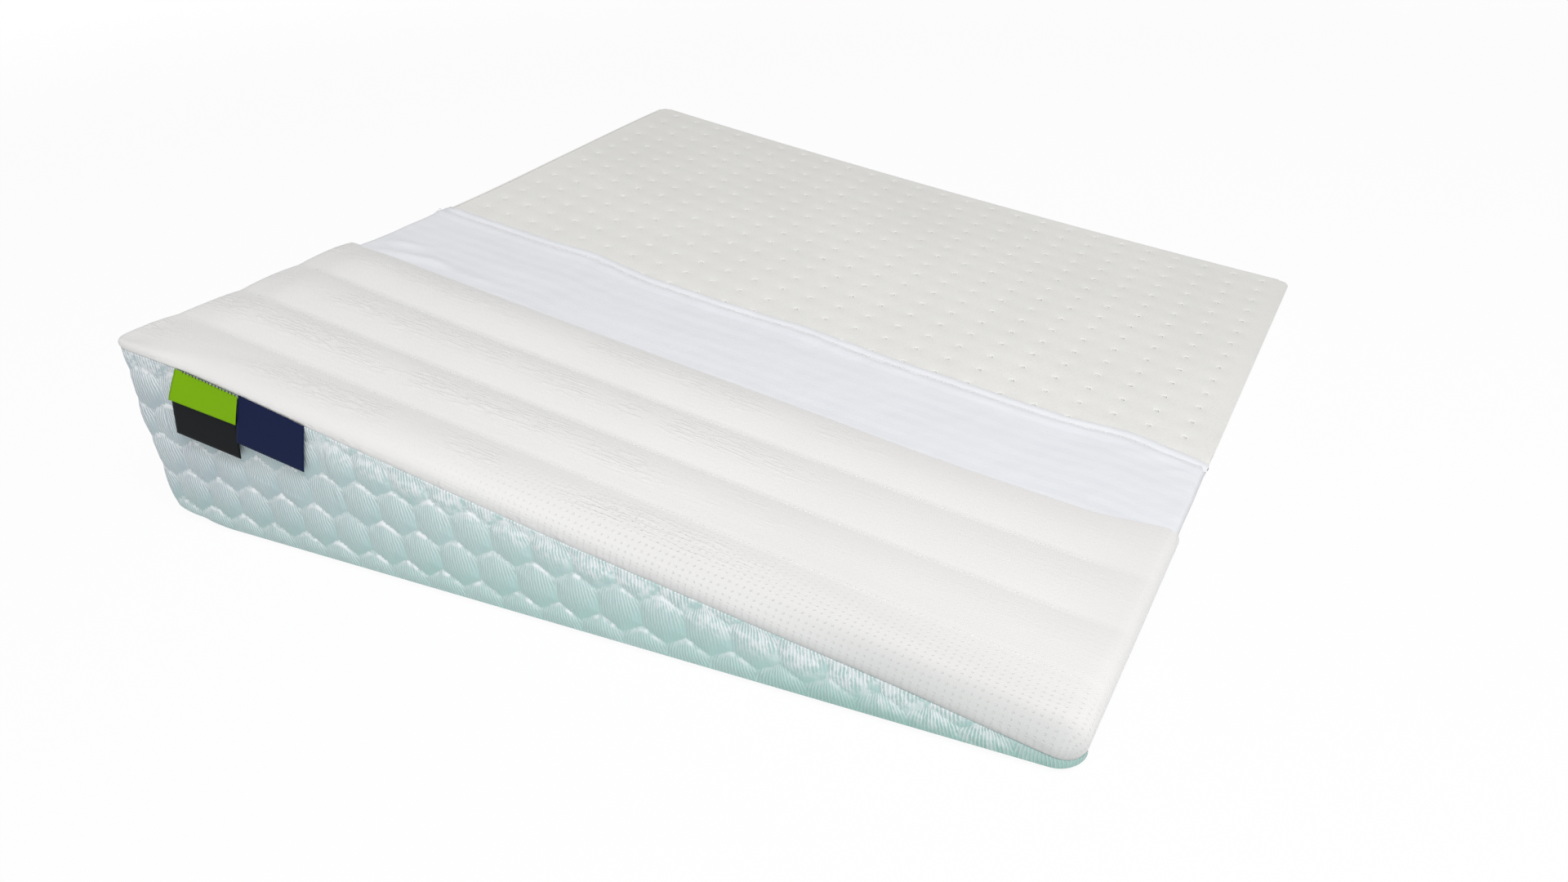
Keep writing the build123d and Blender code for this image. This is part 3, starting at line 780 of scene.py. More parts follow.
def knit_at(u, v):
    """A point of the knit as it is sewn, before the wadding swells it, and whether a seam holds it."""
    row = v * sum(rows_in)
    x = (2 * u - 1) * (half_length + edge_run)
    band = 0
    while band < 5 and row > rows_in[band] + 1e-6:
        row -= rows_in[band]
        band += 1
    share = row / rows_in[band]
    held = 0.0
    fold = 0.0
    inside = min(max(x, -half_length), half_length)
    if band == 0:
        y = front_y - edge_run * (1 - share)
        profile = math.sin(math.pi * 0.28) ** channel_round
    elif band < 5:
        near, far = sewn_line(band - 1, inside), sewn_line(band, inside)
        y = near + share * (far - near)
        arch = math.sin(math.pi * (0.28 + 0.72 * share if band == 1 else share))
        profile = max(0.0, arch) ** channel_round
        profile *= 1 + 0.10 * noise.noise(Vector((inside * 9, band * 3.7, 0.5)))
        profile = 1 - (1 - profile) * (1 - shallow(inside, band, share))
    else:
        fold = share
        y = mouth_edge(inside)
        profile = 0.0
    if band in (1, 2, 3) and share > 0.999 and abs(x) < 0.347:
        held = 1.0
    dx, dy = abs(x) - corner_x, corner_y - y
    around = max(dx, dy)
    shrink = 1.0
    if dx > 0 and dy > 0:
        squareness = tall_squareness if x < 0 else thin_squareness
        shrink = around / (dx ** squareness + dy ** squareness) ** (1 / squareness)
    roll = edge_roll - 0.006 * ease(0.24, 0.35, -x) - 0.009 * ease(0.28, 0.35, x) * ease(-0.34, -0.26, y)
    out = around - (corner_radius - roll)
    if around > 0 and out > 0:
        turn = min(1.0, out / (roll + edge_run)) * full_turn
        bulge = math.sin(turn) ** 0.80 if turn < math.pi / 2 else 1 - 1.1 * (1 - math.sin(turn))
        plan = corner_radius - roll + roll * bulge
        sunk = (1 - math.cos(turn)) / (1 - math.cos(full_turn))
        if dx > 0:
            reach = corner_x + (dx if dy <= 0 else dx * shrink) * plan / around
            x = math.copysign(reach, x)
        if dy > 0:
            y = corner_y - (dy if dx <= 0 else dy * shrink) * plan / around
        if out > roll + edge_run - 1e-5:
            held = 1.0
    else:
        sunk = 0.0
    open_edge = ease(0.4, 1.0, share) if band == 4 else float(band == 5)
    filled = (0.28 if x < 0 else 0.60) * ease(0.310, 0.360, abs(inside)) * (1 - open_edge)
    profile = 1 - (1 - profile) * (1 - filled)
    swell = channel_depth(x) * (front_swell if band == 1 else 1.0)
    swell *= 1 - 0.46 * ease(0.31, 0.36, -inside)
    open_sink = 0.0011 * open_edge
    high = top_z(x, valley_height - open_sink + swell * profile * sewn_swell)
    z = high + (seam_z(x) - high) * sunk
    if band == 5:
        turn = fold * math.pi
        y += 0.0022 * math.sin(min(turn, math.pi))
        if turn > math.pi / 2:
            y -= 0.010 * (fold - 0.5) * 2
        z -= min(fold * 2, 1.0) * (valley_height - open_sink - cover_rise - 0.0003) * (1 - sunk)
        held = 1.0
    elif band == 4 and share > 0.999:
        held = 1.0
    z -= 0.0016 * ease(0.325, 0.352, -x) * ease(-0.33, -0.25, y) * (1 - sunk) * (1 - open_edge)
    z += 0.0160 * sunk * (1 - sunk) ** 2 * ease(0.29, 0.345, -x) * (1 - ease(-0.345, -0.29, y))
    point = Vector((x - tall_bulge * ease(0.325, 0.360, -x), y, z))
    return point + corner_out(point), held


# Cover wadding: a soft polyester layer between scrim and knit, which gives the quilting its swell.
# It is pinched thin along each row of stitches, and tapers off towards the seam.
wadding = Finish("wadding", {"Roughness": 0.9, "Specular IOR Level": 0.15,
                             "Sheen Weight": 0.4, "Sheen Roughness": 0.6})
wadding_cloud = wadding.shared(cloud, Vector=wadding.here(), Scale=40.0)
wadding.put("Base Color", wadding_cloud["Grain"].tint((0.80, 0.80, 0.79, 1), (0.90, 0.90, 0.89, 1)))
wadding.emboss(wadding_cloud["Grain"], 0.5, 0.001)
layer = bmesh.new()
bmesh.ops.create_grid(layer, x_segments=160, y_segments=64, size=0.5)
scrim_side = set(layer.verts)
bmesh.ops.extrude_face_region(layer, geom=layer.faces[:])
for vert in layer.verts:
    u, v = vert.co.x + 0.5, vert.co.y + 0.5
    row = rows_in[0] + 3 + v * (sum(rows_in[1:5]) - 4)
    point = knit_at(0.030 + u * 0.940, row / sum(rows_in))[0]
    floor_z = top_z(point.x, cover_rise + 0.0008)
    raised = floor_z + max(0.0002, (point.z - floor_z) * 0.80 - 0.0009)
    vert.co = (point.x * 0.997, point.y + 0.0008, floor_z if vert in scrim_side else raised)
bmesh.ops.recalc_face_normals(layer, faces=layer.faces)
wadding_layer = finished(layer, "wadding_layer", "cover", wadding, ["top_panel_wadding"], sharp=60)

# Knit: the ivory outer layer itself, with its loops, its lattice of small pits and its crinkles.
# It is sewn down along the quilting and in the seam, and a short simulation lets the wadding swell it.
channel_run = 0.0566
pit_pitch = 0.0050
puff_frames = 24
puff_cap = 0.0035
knit = Finish("knit", {"Roughness": 0.82, "Specular IOR Level": 0.25,
                       "Sheen Weight": 0.35, "Sheen Roughness": 0.55})
here = knit.here()
place_x, place_y, place_z = here.axes()
flat_at = knit.flat()
flat_x, flat_y = flat_at.axes()[:2]
knit_cloud = knit.shared(cloud, Vector=here, Scale=11.0)
knit_weave = knit.shared(plain_weave, Vector=flat_at, Pitch=0.0011)
# Crinkles: short drag lines across the channels, broken up and patchy.
drag = tone(knit.tree, "ShaderNodeMapping", 0, {"Vector": here, "Rotation": (0, 0, math.radians(-27)),
                                                "Scale": (70.0, 420.0, 60.0)})
crinkle = knit.speckle(drag, 1.0, 2.0)
patch = knit.speckle(here, 16.0, 2.0)
channel_at = ((flat_y - channel_run / 2) / channel_run).step("FRACT")
far_slope = channel_at.rise(0.35, 0.65, 0.12, 1.0) * channel_at.rise(0.90, 1.0, 1.0, 0.3)
dash = crinkle.rise(0.46, 0.64) * patch.rise(0.34, 0.56, 0.15, 1.0)
dash = dash * far_slope * place_x.rise(0.02, 0.20, 1.0, 0.12)
# Dimples: the knit's own lattice of small pits, which shows best low on the front near the thin end.
slant_up = ((flat_x + flat_y) * (math.pi / pit_pitch)).step("SINE")
slant_down = ((flat_x - flat_y) * (math.pi / pit_pitch)).step("SINE")
pit = (slant_up * slant_down).rise(0.60, 0.97)
pitted = pit * (place_x.rise(-0.16, 0.10) * place_y.rise(-0.372, -0.30, 1.0, 0.12))
ivory = knit_cloud["Tone"].tint((0.850, 0.838, 0.828, 1), (0.868, 0.855, 0.846, 1))
# Painted highlight: the crinkles are lightened in colour as well as raised.
ivory = (dash * 0.25).tint(ivory, (0.93, 0.915, 0.90, 1))
# Painted shade: the knit is darkened where it rolls down to the front seam, most towards the thin end.
over_seam = place_z - place_x.scaled(seam_fall, seam_middle_z)
painted_seam_shade = over_seam.rise(0.0, 0.0125, 1.0, 0.0) * place_x.rise(-0.25, 0.20, 0.25, 0.65)
ivory = painted_seam_shade.tint(ivory, (0.66, 0.67, 0.665, 1))
# Painted shade: the front roll is darkened to a grey-green along the front edge, more towards the thin
# end.
front_shade_reach = place_x.rise(-0.05, 0.14, 0.06, 0.32) + place_x.rise(0.14, 0.26, 0.0, 0.50)
painted_front_shade = place_y.rise(-0.374, -0.350, 1.0, 0.0) * front_shade_reach
ivory = painted_front_shade.tint(ivory, (0.535, 0.555, 0.548, 1))
# Painted shade: the pits are darkened in colour as well as sunk.
knit.put("Base Color", (pitted * 0.35).tint(ivory, (0.66, 0.65, 0.61, 1)))
knit.emboss(knit_weave["Height"], 0.22, 0.0004)
knit.emboss(pitted.scaled(-1.0, 1.0), 0.5, 0.0008)
knit.emboss(dash, 0.58, 0.0010)

quilt = cloth_grid(knit_columns, sum(rows_in), lambda u, v: knit_at(u, v)[0], (0.760, 0.290), (0, 0, 1))
quilt_knit = finished(quilt, "quilt_knit", "cover", knit, ["top_panel_knit"])
sewn = quilt_knit.vertex_groups.new(name="sewn")
side_count = knit_columns + 1
row_count = sum(rows_in) + 1
for index in range(side_count * row_count):
    u, v = (index % side_count) / knit_columns, (index // side_count) / sum(rows_in)
    if knit_at(u, v)[1] > 0.5:
        sewn.add([index], 1.0, "REPLACE")
puff = quilt_knit.modifiers.new("puff", "CLOTH")
puff.settings.quality = 6
puff.settings.mass = 0.12
puff.settings.tension_stiffness = 18
puff.settings.compression_stiffness = 18
puff.settings.shear_stiffness = 6
puff.settings.bending_stiffness = 6.0
puff.settings.vertex_group_mass = "sewn"
puff.settings.shrink_min = 0.0
puff.settings.use_pressure = True
puff.settings.uniform_pressure_force = 1.5
puff.settings.effector_weights.gravity = 0
puff.collision_settings.use_collision = False
puff.point_cache.frame_start = 1
puff.point_cache.frame_end = puff_frames
for moment in range(1, puff_frames + 1):
    scene.frame_set(moment)
in_motion = quilt_knit.evaluated_get(bpy.context.evaluated_depsgraph_get())
swollen = bpy.data.meshes.new_from_object(in_motion)
for vert, puffed in zip(quilt_knit.data.vertices, swollen.vertices):
    move = puffed.co - vert.co
    capped = move * min(1.0, puff_cap / max(move.length, 1e-9))
    vert.co += capped * (1 - 0.65 * ease(-0.15, 0.30, vert.co.x))
bpy.data.meshes.remove(swollen)
quilt_knit.modifiers.remove(puff)
scene.frame_set(1)

# Quilting threads: a row of small ivory stitches in the bottom of each channel's valley.
# They go through knit, wadding and scrim, and stop short of both ends.
quilt_run = 0.0035


def quilt_hole(index, x):
    """Where the needle has gone through the knit, raised where the row is lost in the swell."""
    lost = sewn_swell * front_swell * shallow(x, index, 1.0) * channel_depth(x)
    return Vector((x, sewn_line(index, x), top_z(x, valley_height + 0.0001 + lost)))


quilt_stitches = bmesh.new()
for index in (1, 2, 3):
    for i in range(196):
        start, end = [quilt_hole(index, -0.343 + hole * quilt_run) for hole in (i, i + 1)]
        stitch(quilt_stitches, start, end, slope_up, thread_gauge)
finished(quilt_stitches, "quilt_thread", "cover", thread, ["quilting_threads"])

# Cover borders: spacer mesh, a white net knitted over a mint ground and swollen into honeycomb cells.
# The front strip goes round both front corners and bends under to the base.
# The tall end has two strips with the zip between them, and the thin end has one narrow strip.
mesh_thickness = 0.0032
cell_width = 0.0325
cell_side = cell_width / math.sqrt(3)
row_pitch = 0.0281
cell_start = (-0.327, 0.0312)
cell_swell = 0.0030
cell_sink = 0.0018
net_pitch = 0.0025
border_foot = 0.0015
corner_arc = math.pi / 2 * corner_radius
front_length = 2 * corner_arc + length - 2 * corner_radius
end_run = mouth_y - front_y - corner_radius
zip_slot_low = 0.0300
zip_slot_high = 0.0500


def cell_middle(run, rise):
    """Middle of the honeycomb cell that a point of the flat mesh lies in."""
    best = None
    for shift in (0, 1):
        first_x, first_z = cell_start[0] + shift * cell_width / 2, cell_start[1] + shift * row_pitch
        middle = (first_x + round((run - first_x) / cell_width) * cell_width,
                  first_z + round((rise - first_z) / (2 * row_pitch)) * 2 * row_pitch)
        away = math.hypot(run - middle[0], rise - middle[1])
        if best is None or away < best[0]:
            best = (away, middle)
    return best[1]


def cell_height(run, rise):
    """How far the mesh stands out there: domed in a cell, sunk along the cell's edge."""
    middle = cell_middle(run, rise)
    dx, dz = abs(run - middle[0]), abs(rise - middle[1])
    edge = max(dx, dx / 2 + dz * 0.866) / (cell_width / 2)
    lopsided = 0.25 * (rise - middle[1]) / cell_side
    return cell_swell * (1 - min(1.0, edge) ** 2.2) * (1 + lopsided) - cell_sink


def mesh_panel(name, columns, rows, lay, facing, nodes, flat):
    """A spacer mesh panel: lay(u, v) gives a point, its facing, run and rise, and its share of relief."""
    bm = bmesh.new()
    bmesh.ops.create_grid(bm, x_segments=columns, y_segments=rows, size=0.5)
    weave = bm.loops.layers.uv.new("weave")
    cell = bm.loops.layers.uv.new("cell")
    laid = {vert: lay(vert.co.x + 0.5, vert.co.y + 0.5) for vert in bm.verts}
    for face in bm.faces:
        middle_run, middle_rise = [sum(laid[v][place] for v in face.verts) / 4 for place in (2, 3)]
        middle = cell_middle(middle_run, middle_rise)
        for loop in face.loops:
            run, rise = laid[loop.vert][2:4]
            loop[weave].uv = (run, rise)
            loop[cell].uv = ((run - middle[0]) / cell_side, (rise - middle[1]) / cell_side)
    low = -cell_sink * 0.9
    for vert, (point, way, run, rise, flatten) in laid.items():
        full = 1 - 0.35 * ease(0.0, 0.25, point.x)
        vert.co = point + way * (low + (cell_height(run, rise) - low) * flatten * full)
    face_out(bm, facing)
    cloth_piece(bm, name, "cover", spacer_mesh, nodes, mesh_thickness,
                flat=flat)


spacer_mesh = Finish("spacer_mesh", {"Roughness": 0.6, "Specular IOR Level": 0.35,
                                     "Sheen Weight": 0.2, "Sheen Roughness": 0.4})
here = spacer_mesh.here()
spot_x, spot_z = here.axes()[::2]
cell_x, cell_y = spacer_mesh.flat("cell").axes()[:2]
mesh_cloud = spacer_mesh.shared(cloud, Vector=here, Scale=24.0)
# The net's threads run down over each dome, drawn together at its peak, and thin out low on its right.
height_in = cell_y.scaled(0.70, 0.20)
spread = height_in.scaled(height_in * -1.0, 1.0).step("MAXIMUM", 0.06).step("SQRT")
ragged = spacer_mesh.speckle(here, 300.0, 1.0)
wander = mesh_cloud["Tone"].scaled(2.0, ragged * 3.4)
swing = ((cell_x + 0.10) / spread).scaled(2 * math.pi * cell_side / net_pitch, wander)
low_right = cell_x.scaled(0.75, cell_y * -0.80)
net = swing.step("SINE").rise(-0.35, 0.70) * low_right.rise(0.25, 0.80, 1.0, 0.15)
# White gathers on each cell's upper edges, most on the right, in the band along the seam,
# and towards the tall end. The white on the upper edges is partly the net's own and partly painted
# highlight, and each cell's threads are painted lighter towards its top as highlight.
rounded = cell_x.scaled(cell_x, 0.015).step("SQRT")
peak = rounded.scaled(0.5774, cell_y)
broken = spacer_mesh.speckle(here, 210.0, 2.0)
roof_white_and_highlight = peak.rise(0.76, 0.93) * broken.rise(0.36, 0.62, 0.10, 1.0)
roof_white_and_highlight = roof_white_and_highlight * cell_x.rise(-0.80, 0.10, 0.25, 1.0) * cell_x.rise(0.40, 0.87, 1.0, 0.30)
roof_white_and_highlight = roof_white_and_highlight * spot_x.rise(-0.05, 0.25, 1.0, 0.50)
# Painted highlight: the threads are lighter towards each cell's top.
upper = peak.rise(-0.55, 0.95)
seam_gap = spot_x.scaled(seam_fall, seam_middle_z) - spot_z
band = seam_gap.rise(0.006, 0.028, 1.0, 0.0) * spot_x.rise(0.30, 0.345, 1.0, 0.2)
white_share = seam_gap.scaled(2.4, spot_x + 0.36).rise(0.02, 0.62, 0.85, 0.38)
threads_on = net * white_share * upper.scaled(0.55, 0.45)
banded = net.scaled(0.80, broken.rise(0.40, 0.62, 0.0, 0.52)) * band
whitened = threads_on.step("MAXIMUM", banded).step("MAXIMUM", roof_white_and_highlight * 0.95)
# The mint ground deepens towards the floor, most low at the thin end, where less white lies over it.
low_end = spot_x.rise(0.08, 0.24) * spot_z.rise(0.003, 0.024, 1.0, 0.0)
mint = spot_x.rise(-0.36, -0.02).tint((0.375, 0.475, 0.520, 1), (0.42, 0.615, 0.60, 1))
mint = spot_z.rise(0.0, 0.055, 0.65, 0.0).tint(mint, (0.310, 0.545, 0.500, 1))
mint = (mesh_cloud["Tone"] * 0.20).tint(mint, (0.56, 0.70, 0.70, 1))
mint = (low_end * 0.75).tint(mint, (0.25, 0.47, 0.41, 1))
cover_all = white_share.scaled(0.14, whitened).step("MINIMUM", 1.0) * low_end.scaled(-0.50, 1.0)
spacer_mesh.put("Base Color", cover_all.tint(mint, (0.87, 0.905, 0.93, 1)))
spacer_mesh.emboss((net * 0.8).step("MAXIMUM", roof_white_and_highlight), 0.6, 0.0008)
spacer_mesh.emboss(mesh_cloud["Grain"], 0.15, 0.0006)


def front_bend(share):
    """Radius of the bend under the front border: the heel's at the tall corner, and small past it."""
    return 0.004 + (heel_radius - 0.004) * (1 - ease(0.0, 0.10, share))


def end_lean(z, pull):
    """How far the tall end leans: out at the top with the knit's swell, and in by pull at the heel."""
    return -tall_bulge * ease(0.015, 0.110, z) + 0.0008 * pull * (1 - ease(0.03, 0.09, z))


def corner_fill(z, share):
    """How far the tall corner's wall is filled out below its swell, but for where the zip's pull lies."""
    pull_place = (1 - ease(0.004, 0.012, share)) * math.exp(-((z - 0.040) / 0.010) ** 2)
    return 0.0032 * ease(0.004, 0.022, z) * (1 - ease(0.085, 0.130, z)) * (1 - pull_place)


def front_border_at(u, v):
    """The front border, with the heel's bend running out round the tall corner."""
    spot, out = front_path(u, 0.0, tall_squareness)
    bend = min(front_bend(u), seam_z(spot.x) * 0.45, corner_radius - 0.0006)
    lap = min(0.004, max(0.0002, corner_radius - 0.0004 - bend))
    point, way, rise = wall_point(spot, out, border_foot, bend, lap, seam_z(spot.x), v)
    run = u * front_length - corner_arc - length / 2 + corner_radius
    flatten = ease(0.0, 0.010, seam_z(spot.x) - point.z) * ease(0.0005, 0.013, rise)
    if -0.33 < spot.x < -0.17 and seam_z(spot.x) - point.z < 0.066:
        flatten *= 0.55
    point.x += (end_lean(point.z, 1.0) - corner_fill(point.z, u)) * ease(0.325, 0.360, -spot.x)
    point += corner_out(point) + out * 0.0008 * (1 - ease(0.0, 0.008, seam_z(spot.x) - point.z))
    return point, way, run, rise, flatten * (0.30 + 0.70 * ease(0.0, 0.06, u))


mesh_panel("front_border", 436, 84, front_border_at, (0, -1, 0), ["border_front"],
           flat=(0.745, 0.16))


def tall_rise(y, share, low, high):
    """A strip of the tall end between two heights, from the front corner to the open edge."""
    tall_out = Vector((-1, 0, 0))
    run = corner_y - y - half_length - 0.010
    if low > 0:
        point = Vector((-half_length, y, low + share * (high - low)))
        return point, tall_out, run, point.z
    spot = Vector((-half_length, y, 0))
    point, way, rise = wall_point(spot, tall_out, border_foot, heel_radius, 0.0, high, share)
    return point, way, run, rise


def strip_lean(z, u):
    """How far a strip of the tall end leans out or in, with the corner's own shape near the front."""
    near = 1 - ease(0.0, 0.12, u)
    return end_lean(z, near) - corner_fill(z, 0.0) * near


def tall_upper_at(u, v):
    """The strip above the zip."""
    y = corner_y + u * end_run
    point, way, run, rise = tall_rise(y, v, zip_slot_high, seam_tall_z)
    flatten = ease(0.0, 0.008, seam_tall_z - point.z) * ease(zip_slot_high, 0.056, point.z)
    point.x += strip_lean(point.z, u)
    point += corner_out(point)
    return point, way, run, rise, flatten * (0.30 + 0.70 * ease(0.0, 0.2, u))


mesh_panel("tall_upper_border", 126, 57, tall_upper_at, (-1, 0, 0), ["border_tall_upper"],
           flat=(0.214, 0.097))


def tall_lower_at(u, v):
    """The strip below the zip, round the heel."""
    y = corner_y + u * end_run
    point, way, run, rise = tall_rise(y, v, 0.0, zip_slot_low)
    flatten = ease(0.0, 0.006, zip_slot_low - point.z) * ease(0.0005, 0.013, rise)
    point.x += strip_lean(point.z, u)
    return point, way, run, rise, flatten


mesh_panel("tall_lower_border", 126, 26, tall_lower_at, (-1, 0, -0.3), ["border_tall_lower"],
           flat=(0.214, 0.040))


def thin_border_at(u, v):
    """The thin end's narrow strip, nearly hidden under the knit's roll."""
    y = corner_y + u * (mouth_edge(half_length) - front_y - corner_radius)
    spot = Vector((0.3590, y, 0))
    point, way, rise = wall_point(spot, Vector((1, 0, 0)), border_foot, 0.004, 0.004, seam_thin_z, v)
    return point, way, half_length + y - front_y, rise, 0.35


mesh_panel("thin_border", 126, 10, thin_border_at, (1, 0, 0), ["border_thin"],
           flat=(0.214, 0.0155))


def base_at(u, v):
    """The base, flat on the floor inside the borders' turned edges."""
    x = heel_x - 0.001 + u * (0.3555 - heel_x)
    share = (corner_arc + x + half_length - corner_radius) / front_length
    near = front_y + 0.001 + front_bend(share)
    x, y = round_corner(x, near + v * (mouth_y - near))[:2]
    return Vector((x, y, 0.0016)), Vector((0, 0, -1)), x, y, 0.5


mesh_panel("base_mesh", 260, 90, base_at, (0, 0, -1), ["base_panel"],
           flat=(0.70, 0.232))

# Zip: a coil zip across the tall end, so that the cover can come off for washing.
# Two woven tapes carry the coils, sewn behind the mesh.
# The slider, its pull and the end stop are plated metal.
tape_thickness = 0.0006
tape_x = -0.35935
coil_x = -0.3581
coil_turns = 107
coil_radius = 0.0012
coil_pitch = end_run / coil_turns
zip_tape = Finish("zip_tape", {"Roughness": 0.75, "Specular IOR Level": 0.3})
tape_weave = zip_tape.shared(plain_weave, Vector=zip_tape.flat(), Pitch=0.0008)
zip_tape.put("Base Color", tape_weave["Height"].tint((0.62, 0.66, 0.65, 1), (0.80, 0.83, 0.82, 1)))
zip_tape.emboss(tape_weave["Height"], 0.5, 0.0004)
zip_coil = Finish("zip_coil", {"Roughness": 0.35, "Specular IOR Level": 0.5})
coil_cloud = zip_coil.shared(cloud, Vector=zip_coil.here(), Scale=60.0)
zip_coil.put("Base Color", coil_cloud["Tone"].tint((0.68, 0.71, 0.70, 1), (0.80, 0.82, 0.81, 1)))
for side, low, high in (("lower", 0.0270, 0.0392), ("upper", 0.0408, 0.0530)):

    def tape_at(u, v):
        """A point of this tape, which is very nearly flat."""
        ripple = 0.0001 * noise.noise(Vector((u * 40, v * 4, low * 90)))
        return Vector((tape_x + ripple, corner_y + u * end_run, low + v * (high - low)))

    cloth_piece(cloth_grid(90, 10, tape_at, (0.214, high - low), (-1, 0, 0)),
                "zip_tape_cloth_" + side, "cover", zip_tape, ["zip_tape_" + side], tape_thickness,
                flat=(0.214, high - low))
    one_turn = bmesh.new()
    middle = Vector((coil_x, corner_y, high - coil_radius if side == "lower" else low + coil_radius))
    bmesh.ops.create_circle(one_turn, segments=6, radius=0.00032,
                            matrix=Matrix.Translation(middle + Vector((0, 0, 0.0009))))
    bmesh.ops.spin(one_turn, geom=one_turn.edges[:], cent=middle, axis=(0, 1, 0), steps=12,
                   dvec=Vector((0, coil_pitch / 12, 0)), angle=2 * math.pi)
    turn_mesh = bpy.data.meshes.new("coil_turn")
    one_turn.to_mesh(turn_mesh)
    one_turn.free()
    coil = bmesh.new()
    for i in range(coil_turns):
        coil.from_mesh(turn_mesh)
        turn_mesh.transform(Matrix.Translation((0, coil_pitch, 0)))
    bpy.data.meshes.remove(turn_mesh)
    bmesh.ops.remove_doubles(coil, verts=coil.verts, dist=0.00003)
    bmesh.ops.recalc_face_normals(coil, faces=coil.faces)
    finished(coil, "zip_coil_wire_" + side, "cover", zip_coil, ["zip_coil_" + side])

zip_metal = Finish("zip_metal", {"Metallic": 1.0, "Roughness": 0.3})
metal_cloud = zip_metal.shared(cloud, Vector=zip_metal.here(), Scale=180.0)
zip_metal.put("Base Color", metal_cloud["Tone"].tint((0.50, 0.51, 0.52, 1), (0.66, 0.67, 0.68, 1)))
zip_metal.put("Roughness", metal_cloud["Grain"].rise(0.3, 0.7, 0.22, 0.40))
zip_metal.emboss(metal_cloud["Grain"], 0.15, 0.0002)
for name in ("zip_slider", "zip_pull_tab", "zip_end_stop"):
    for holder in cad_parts[name].material_slots:
        holder.material = zip_metal.material

# Labels: three bare woven satin labels, caught by their top edges in the front seam.
# They stand off the mesh a little way below the seam, and the green one lies over the black one.
# Each bends out just below its sewn edge. Dark overcast stitches hold the green one's edge.
seam_droop = 0.199
green_left = -0.3034
overcast_pitch = 0.0031
labels = (
    ("black", (-0.3046, 0.1386), seam_droop, 0.0600, 0.0505,
     (0.0006, 0.0050, 0.012, 2.0), (0.0040, 0.0050, 0.0062, 1)),
    ("green", (green_left, 0.1400), seam_droop, 0.0604, 0.0216,
     (0.0014, 0.0125, 0.026, 1.2), (0.165, 0.355, 0.003, 1)),
    ("navy", (-0.2436, 0.1288), 0.226, 0.0605, 0.0370,
     (0.0005, 0.0062, 0.030, 1.2), (0.0042, 0.0095, 0.0420, 1)),
)
for colour, (left, high), droop, wide, deep, (near, far, over, curl), shade in labels:
    satin = Finish("label_" + colour, {"Roughness": 0.6, "Specular IOR Level": 0.09})
    satin_weave = satin.shared(plain_weave, Vector=satin.flat(), Pitch=0.0006)
    lit = tuple(1.35 * c for c in shade[:3]) + (1,)
    satin.put("Base Color", satin_weave["Warp"].tint(shade, lit))
    satin.emboss(satin_weave["Height"], 0.25, 0.0002)
    start = Vector((left, front_y, high))
    along_seam = Vector((1, 0, -droop)).normalized()
    down_label = Vector((-droop, 0, -1)).normalized()

    def label_at(u, v):
        """A point of the label: out from the seam in a curve, most on the left, then down."""
        off = near + far * (1 - math.exp(-(v * deep / over) ** curl)) * (1.30 - 0.65 * u)
        return start + along_seam * (u * wide) + down_label * (v * deep) + Vector((0, -off, 0))

    label = finished(cloth_grid(30, 24, label_at, (wide, deep), (0, -1, 0)),
                     "label_cloth_" + colour, None, satin, ["label_" + colour])
    thicken(label, 0.0005)
    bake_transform(label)

label_thread = Finish("label_thread", {"Roughness": 0.6, "Specular IOR Level": 0.3}, slot="thread")
label_ply = tone(label_thread.tree, "ShaderNodeTexWave", "Fac",
                 {"Vector": label_thread.here(), "Scale": 900.0, "Distortion": 2.0})
label_thread.put("Base Color", label_ply.tint((0.045, 0.055, 0.050, 1), (0.085, 0.10, 0.09, 1)))
overcast = bmesh.new()
for i in range(17):
    x = -0.2950 + i * overcast_pitch
    foot = Vector((x, front_y - 0.0020, 0.1398 - (x - green_left) * seam_droop))
    stitch(overcast, foot, foot + Vector((0.0010, 0.0004, 0.0022)), Vector((0, -1, 0.3)), 0.00045)
finished(overcast, "label_stitches", "cover", label_thread)

# Studio: a pale floor, soft light from over the front, and the camera where the photograph was taken.
# The floor and the world are white to the camera and in gloss, and light the object at a plain level.
floor_mesh = bpy.data.meshes.new("floor")
ground = bmesh.new()
bmesh.ops.create_grid(ground, x_segments=2, y_segments=2, size=8)
ground.to_mesh(floor_mesh)
ground.free()
floor = bpy.data.objects.new("floor", floor_mesh)
scene.collection.objects.link(floor)


def seen_straight(tree):
    """1 for a ray from the camera, off gloss or through glass, and 0 for one that lights something."""
    rays = node(tree, "ShaderNodeLightPath").outputs
    glossy = Tone(tree, rays["Is Glossy Ray"])
    reflected = glossy.step("MAXIMUM", Tone(tree, rays["Is Transmission Ray"]))
    return Tone(tree, rays["Is Camera Ray"]).step("MAXIMUM", reflected)


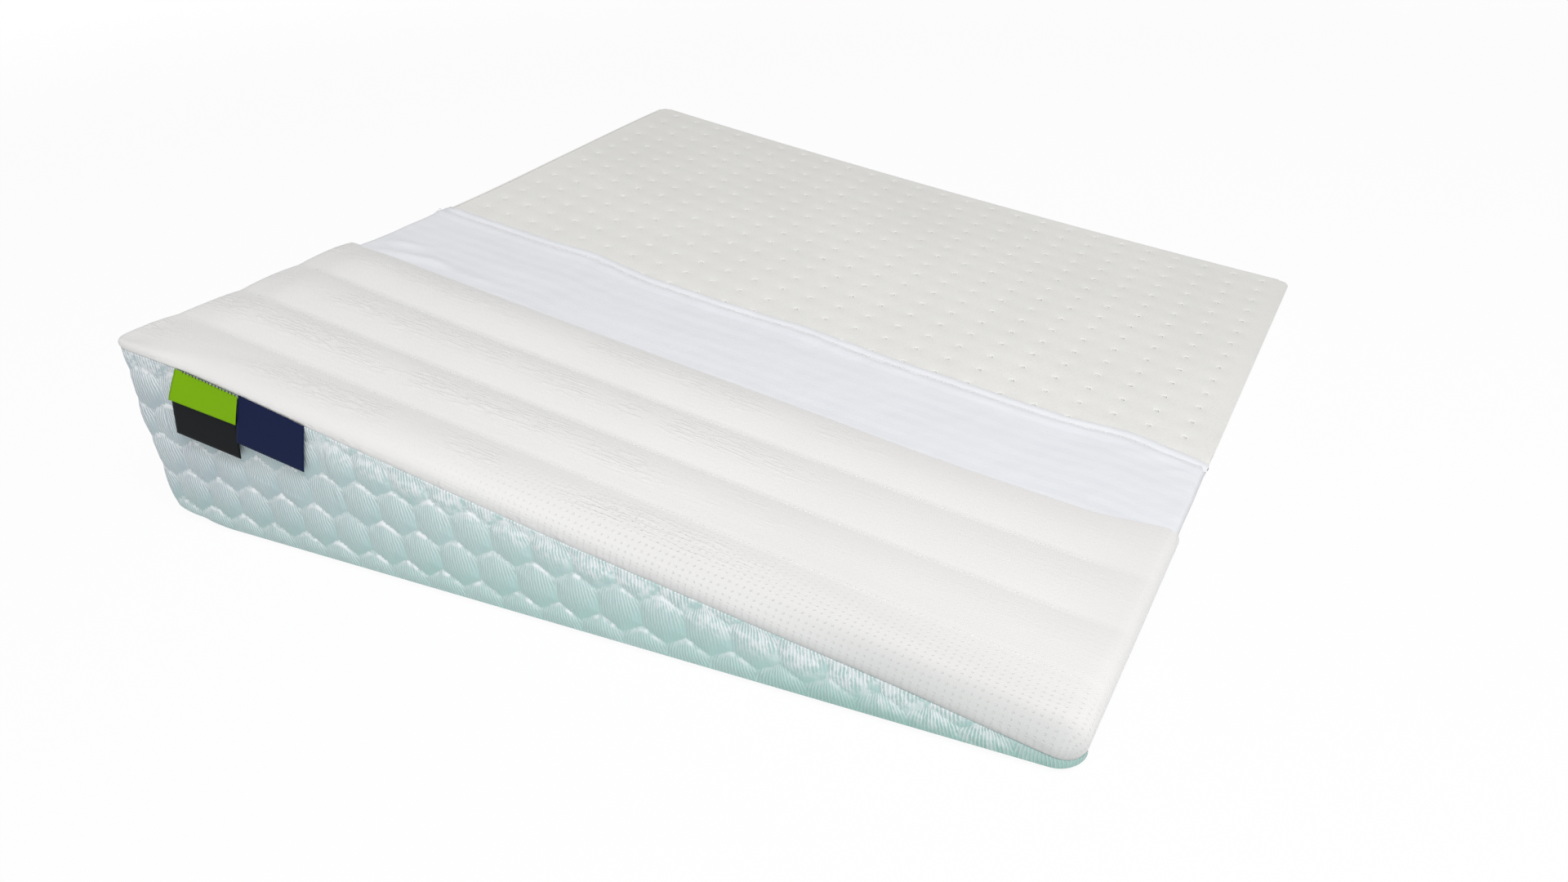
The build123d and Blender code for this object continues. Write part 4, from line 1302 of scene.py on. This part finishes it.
floor_white = Finish("floor_white", {"Base Color": (0.9, 0.9, 0.9, 1), "Roughness": 0.9,
                                     "Specular IOR Level": 0.0})
tree = floor_white.tree
away = tone(tree, "ShaderNodeVectorMath", "Value", {0: floor_white.here()}, operation="LENGTH")
share = seen_straight(tree) * away.rise(1.5, 3.5, 0.94, 1.0)
glow = tone(tree, "ShaderNodeEmission", 0, {"Color": (1, 1, 1, 1), "Strength": 1.0})
matt = Tone(tree, floor_white.shader.outputs[0])
mixed = tone(tree, "ShaderNodeMixShader", 0, {0: share, 1: matt, 2: glow})
tree.links.new(mixed.socket, tree.nodes["Material Output"].inputs["Surface"])
floor_mesh.materials.append(floor_white.material)

world = bpy.data.worlds.new("studio")
world.use_nodes = True
scene.world = world
back = world.node_tree.nodes["Background"]
back.inputs["Color"].default_value = (1, 1, 1, 1)
strength = seen_straight(world.node_tree).scaled(0.60, 0.40)
world.node_tree.links.new(strength.socket, back.inputs["Strength"])

for name, spot, aim, size, power in (
    ("key_light", (1.10, -1.20, 1.95), (0.10, -0.10, 0.05), 1.3, 37),
    ("fill_light", (0.20, -2.60, 0.60), (0.0, -0.3, 0.05), 1.6, 3),
):
    lamp = bpy.data.lights.new(name, "AREA")
    lamp.shape = "DISK"
    lamp.size = size
    lamp.energy = power
    holder = bpy.data.objects.new(name, lamp)
    scene.collection.objects.link(holder)
    holder.location = spot
    holder.rotation_mode = "QUATERNION"
    holder.rotation_quaternion = (Vector(aim) - Vector(spot)).to_track_quat("-Z", "Y")

azimuth, elevation, roll = math.radians(29.0245), math.radians(27.8788), math.radians(-3.4723)
away = Vector((math.sin(azimuth) * math.cos(elevation),
               -math.cos(azimuth) * math.cos(elevation),
               math.sin(elevation)))
level = Vector((0, 0, 1)).cross(away).normalized()
upright = away.cross(level)
right = math.cos(roll) * level + math.sin(roll) * upright
up = math.cos(roll) * upright - math.sin(roll) * level
lens = bpy.data.cameras.new("camera")
lens.lens = 28.957
lens.sensor_width = 36
camera = bpy.data.objects.new("camera", lens)
scene.collection.objects.link(camera)
stand = Matrix.Translation((0.47892, -0.89584, 0.49282))
camera.matrix_world = stand @ Matrix((right, up, away)).transposed().to_4x4()
scene.camera = camera
scene.view_settings.view_transform = "Standard"
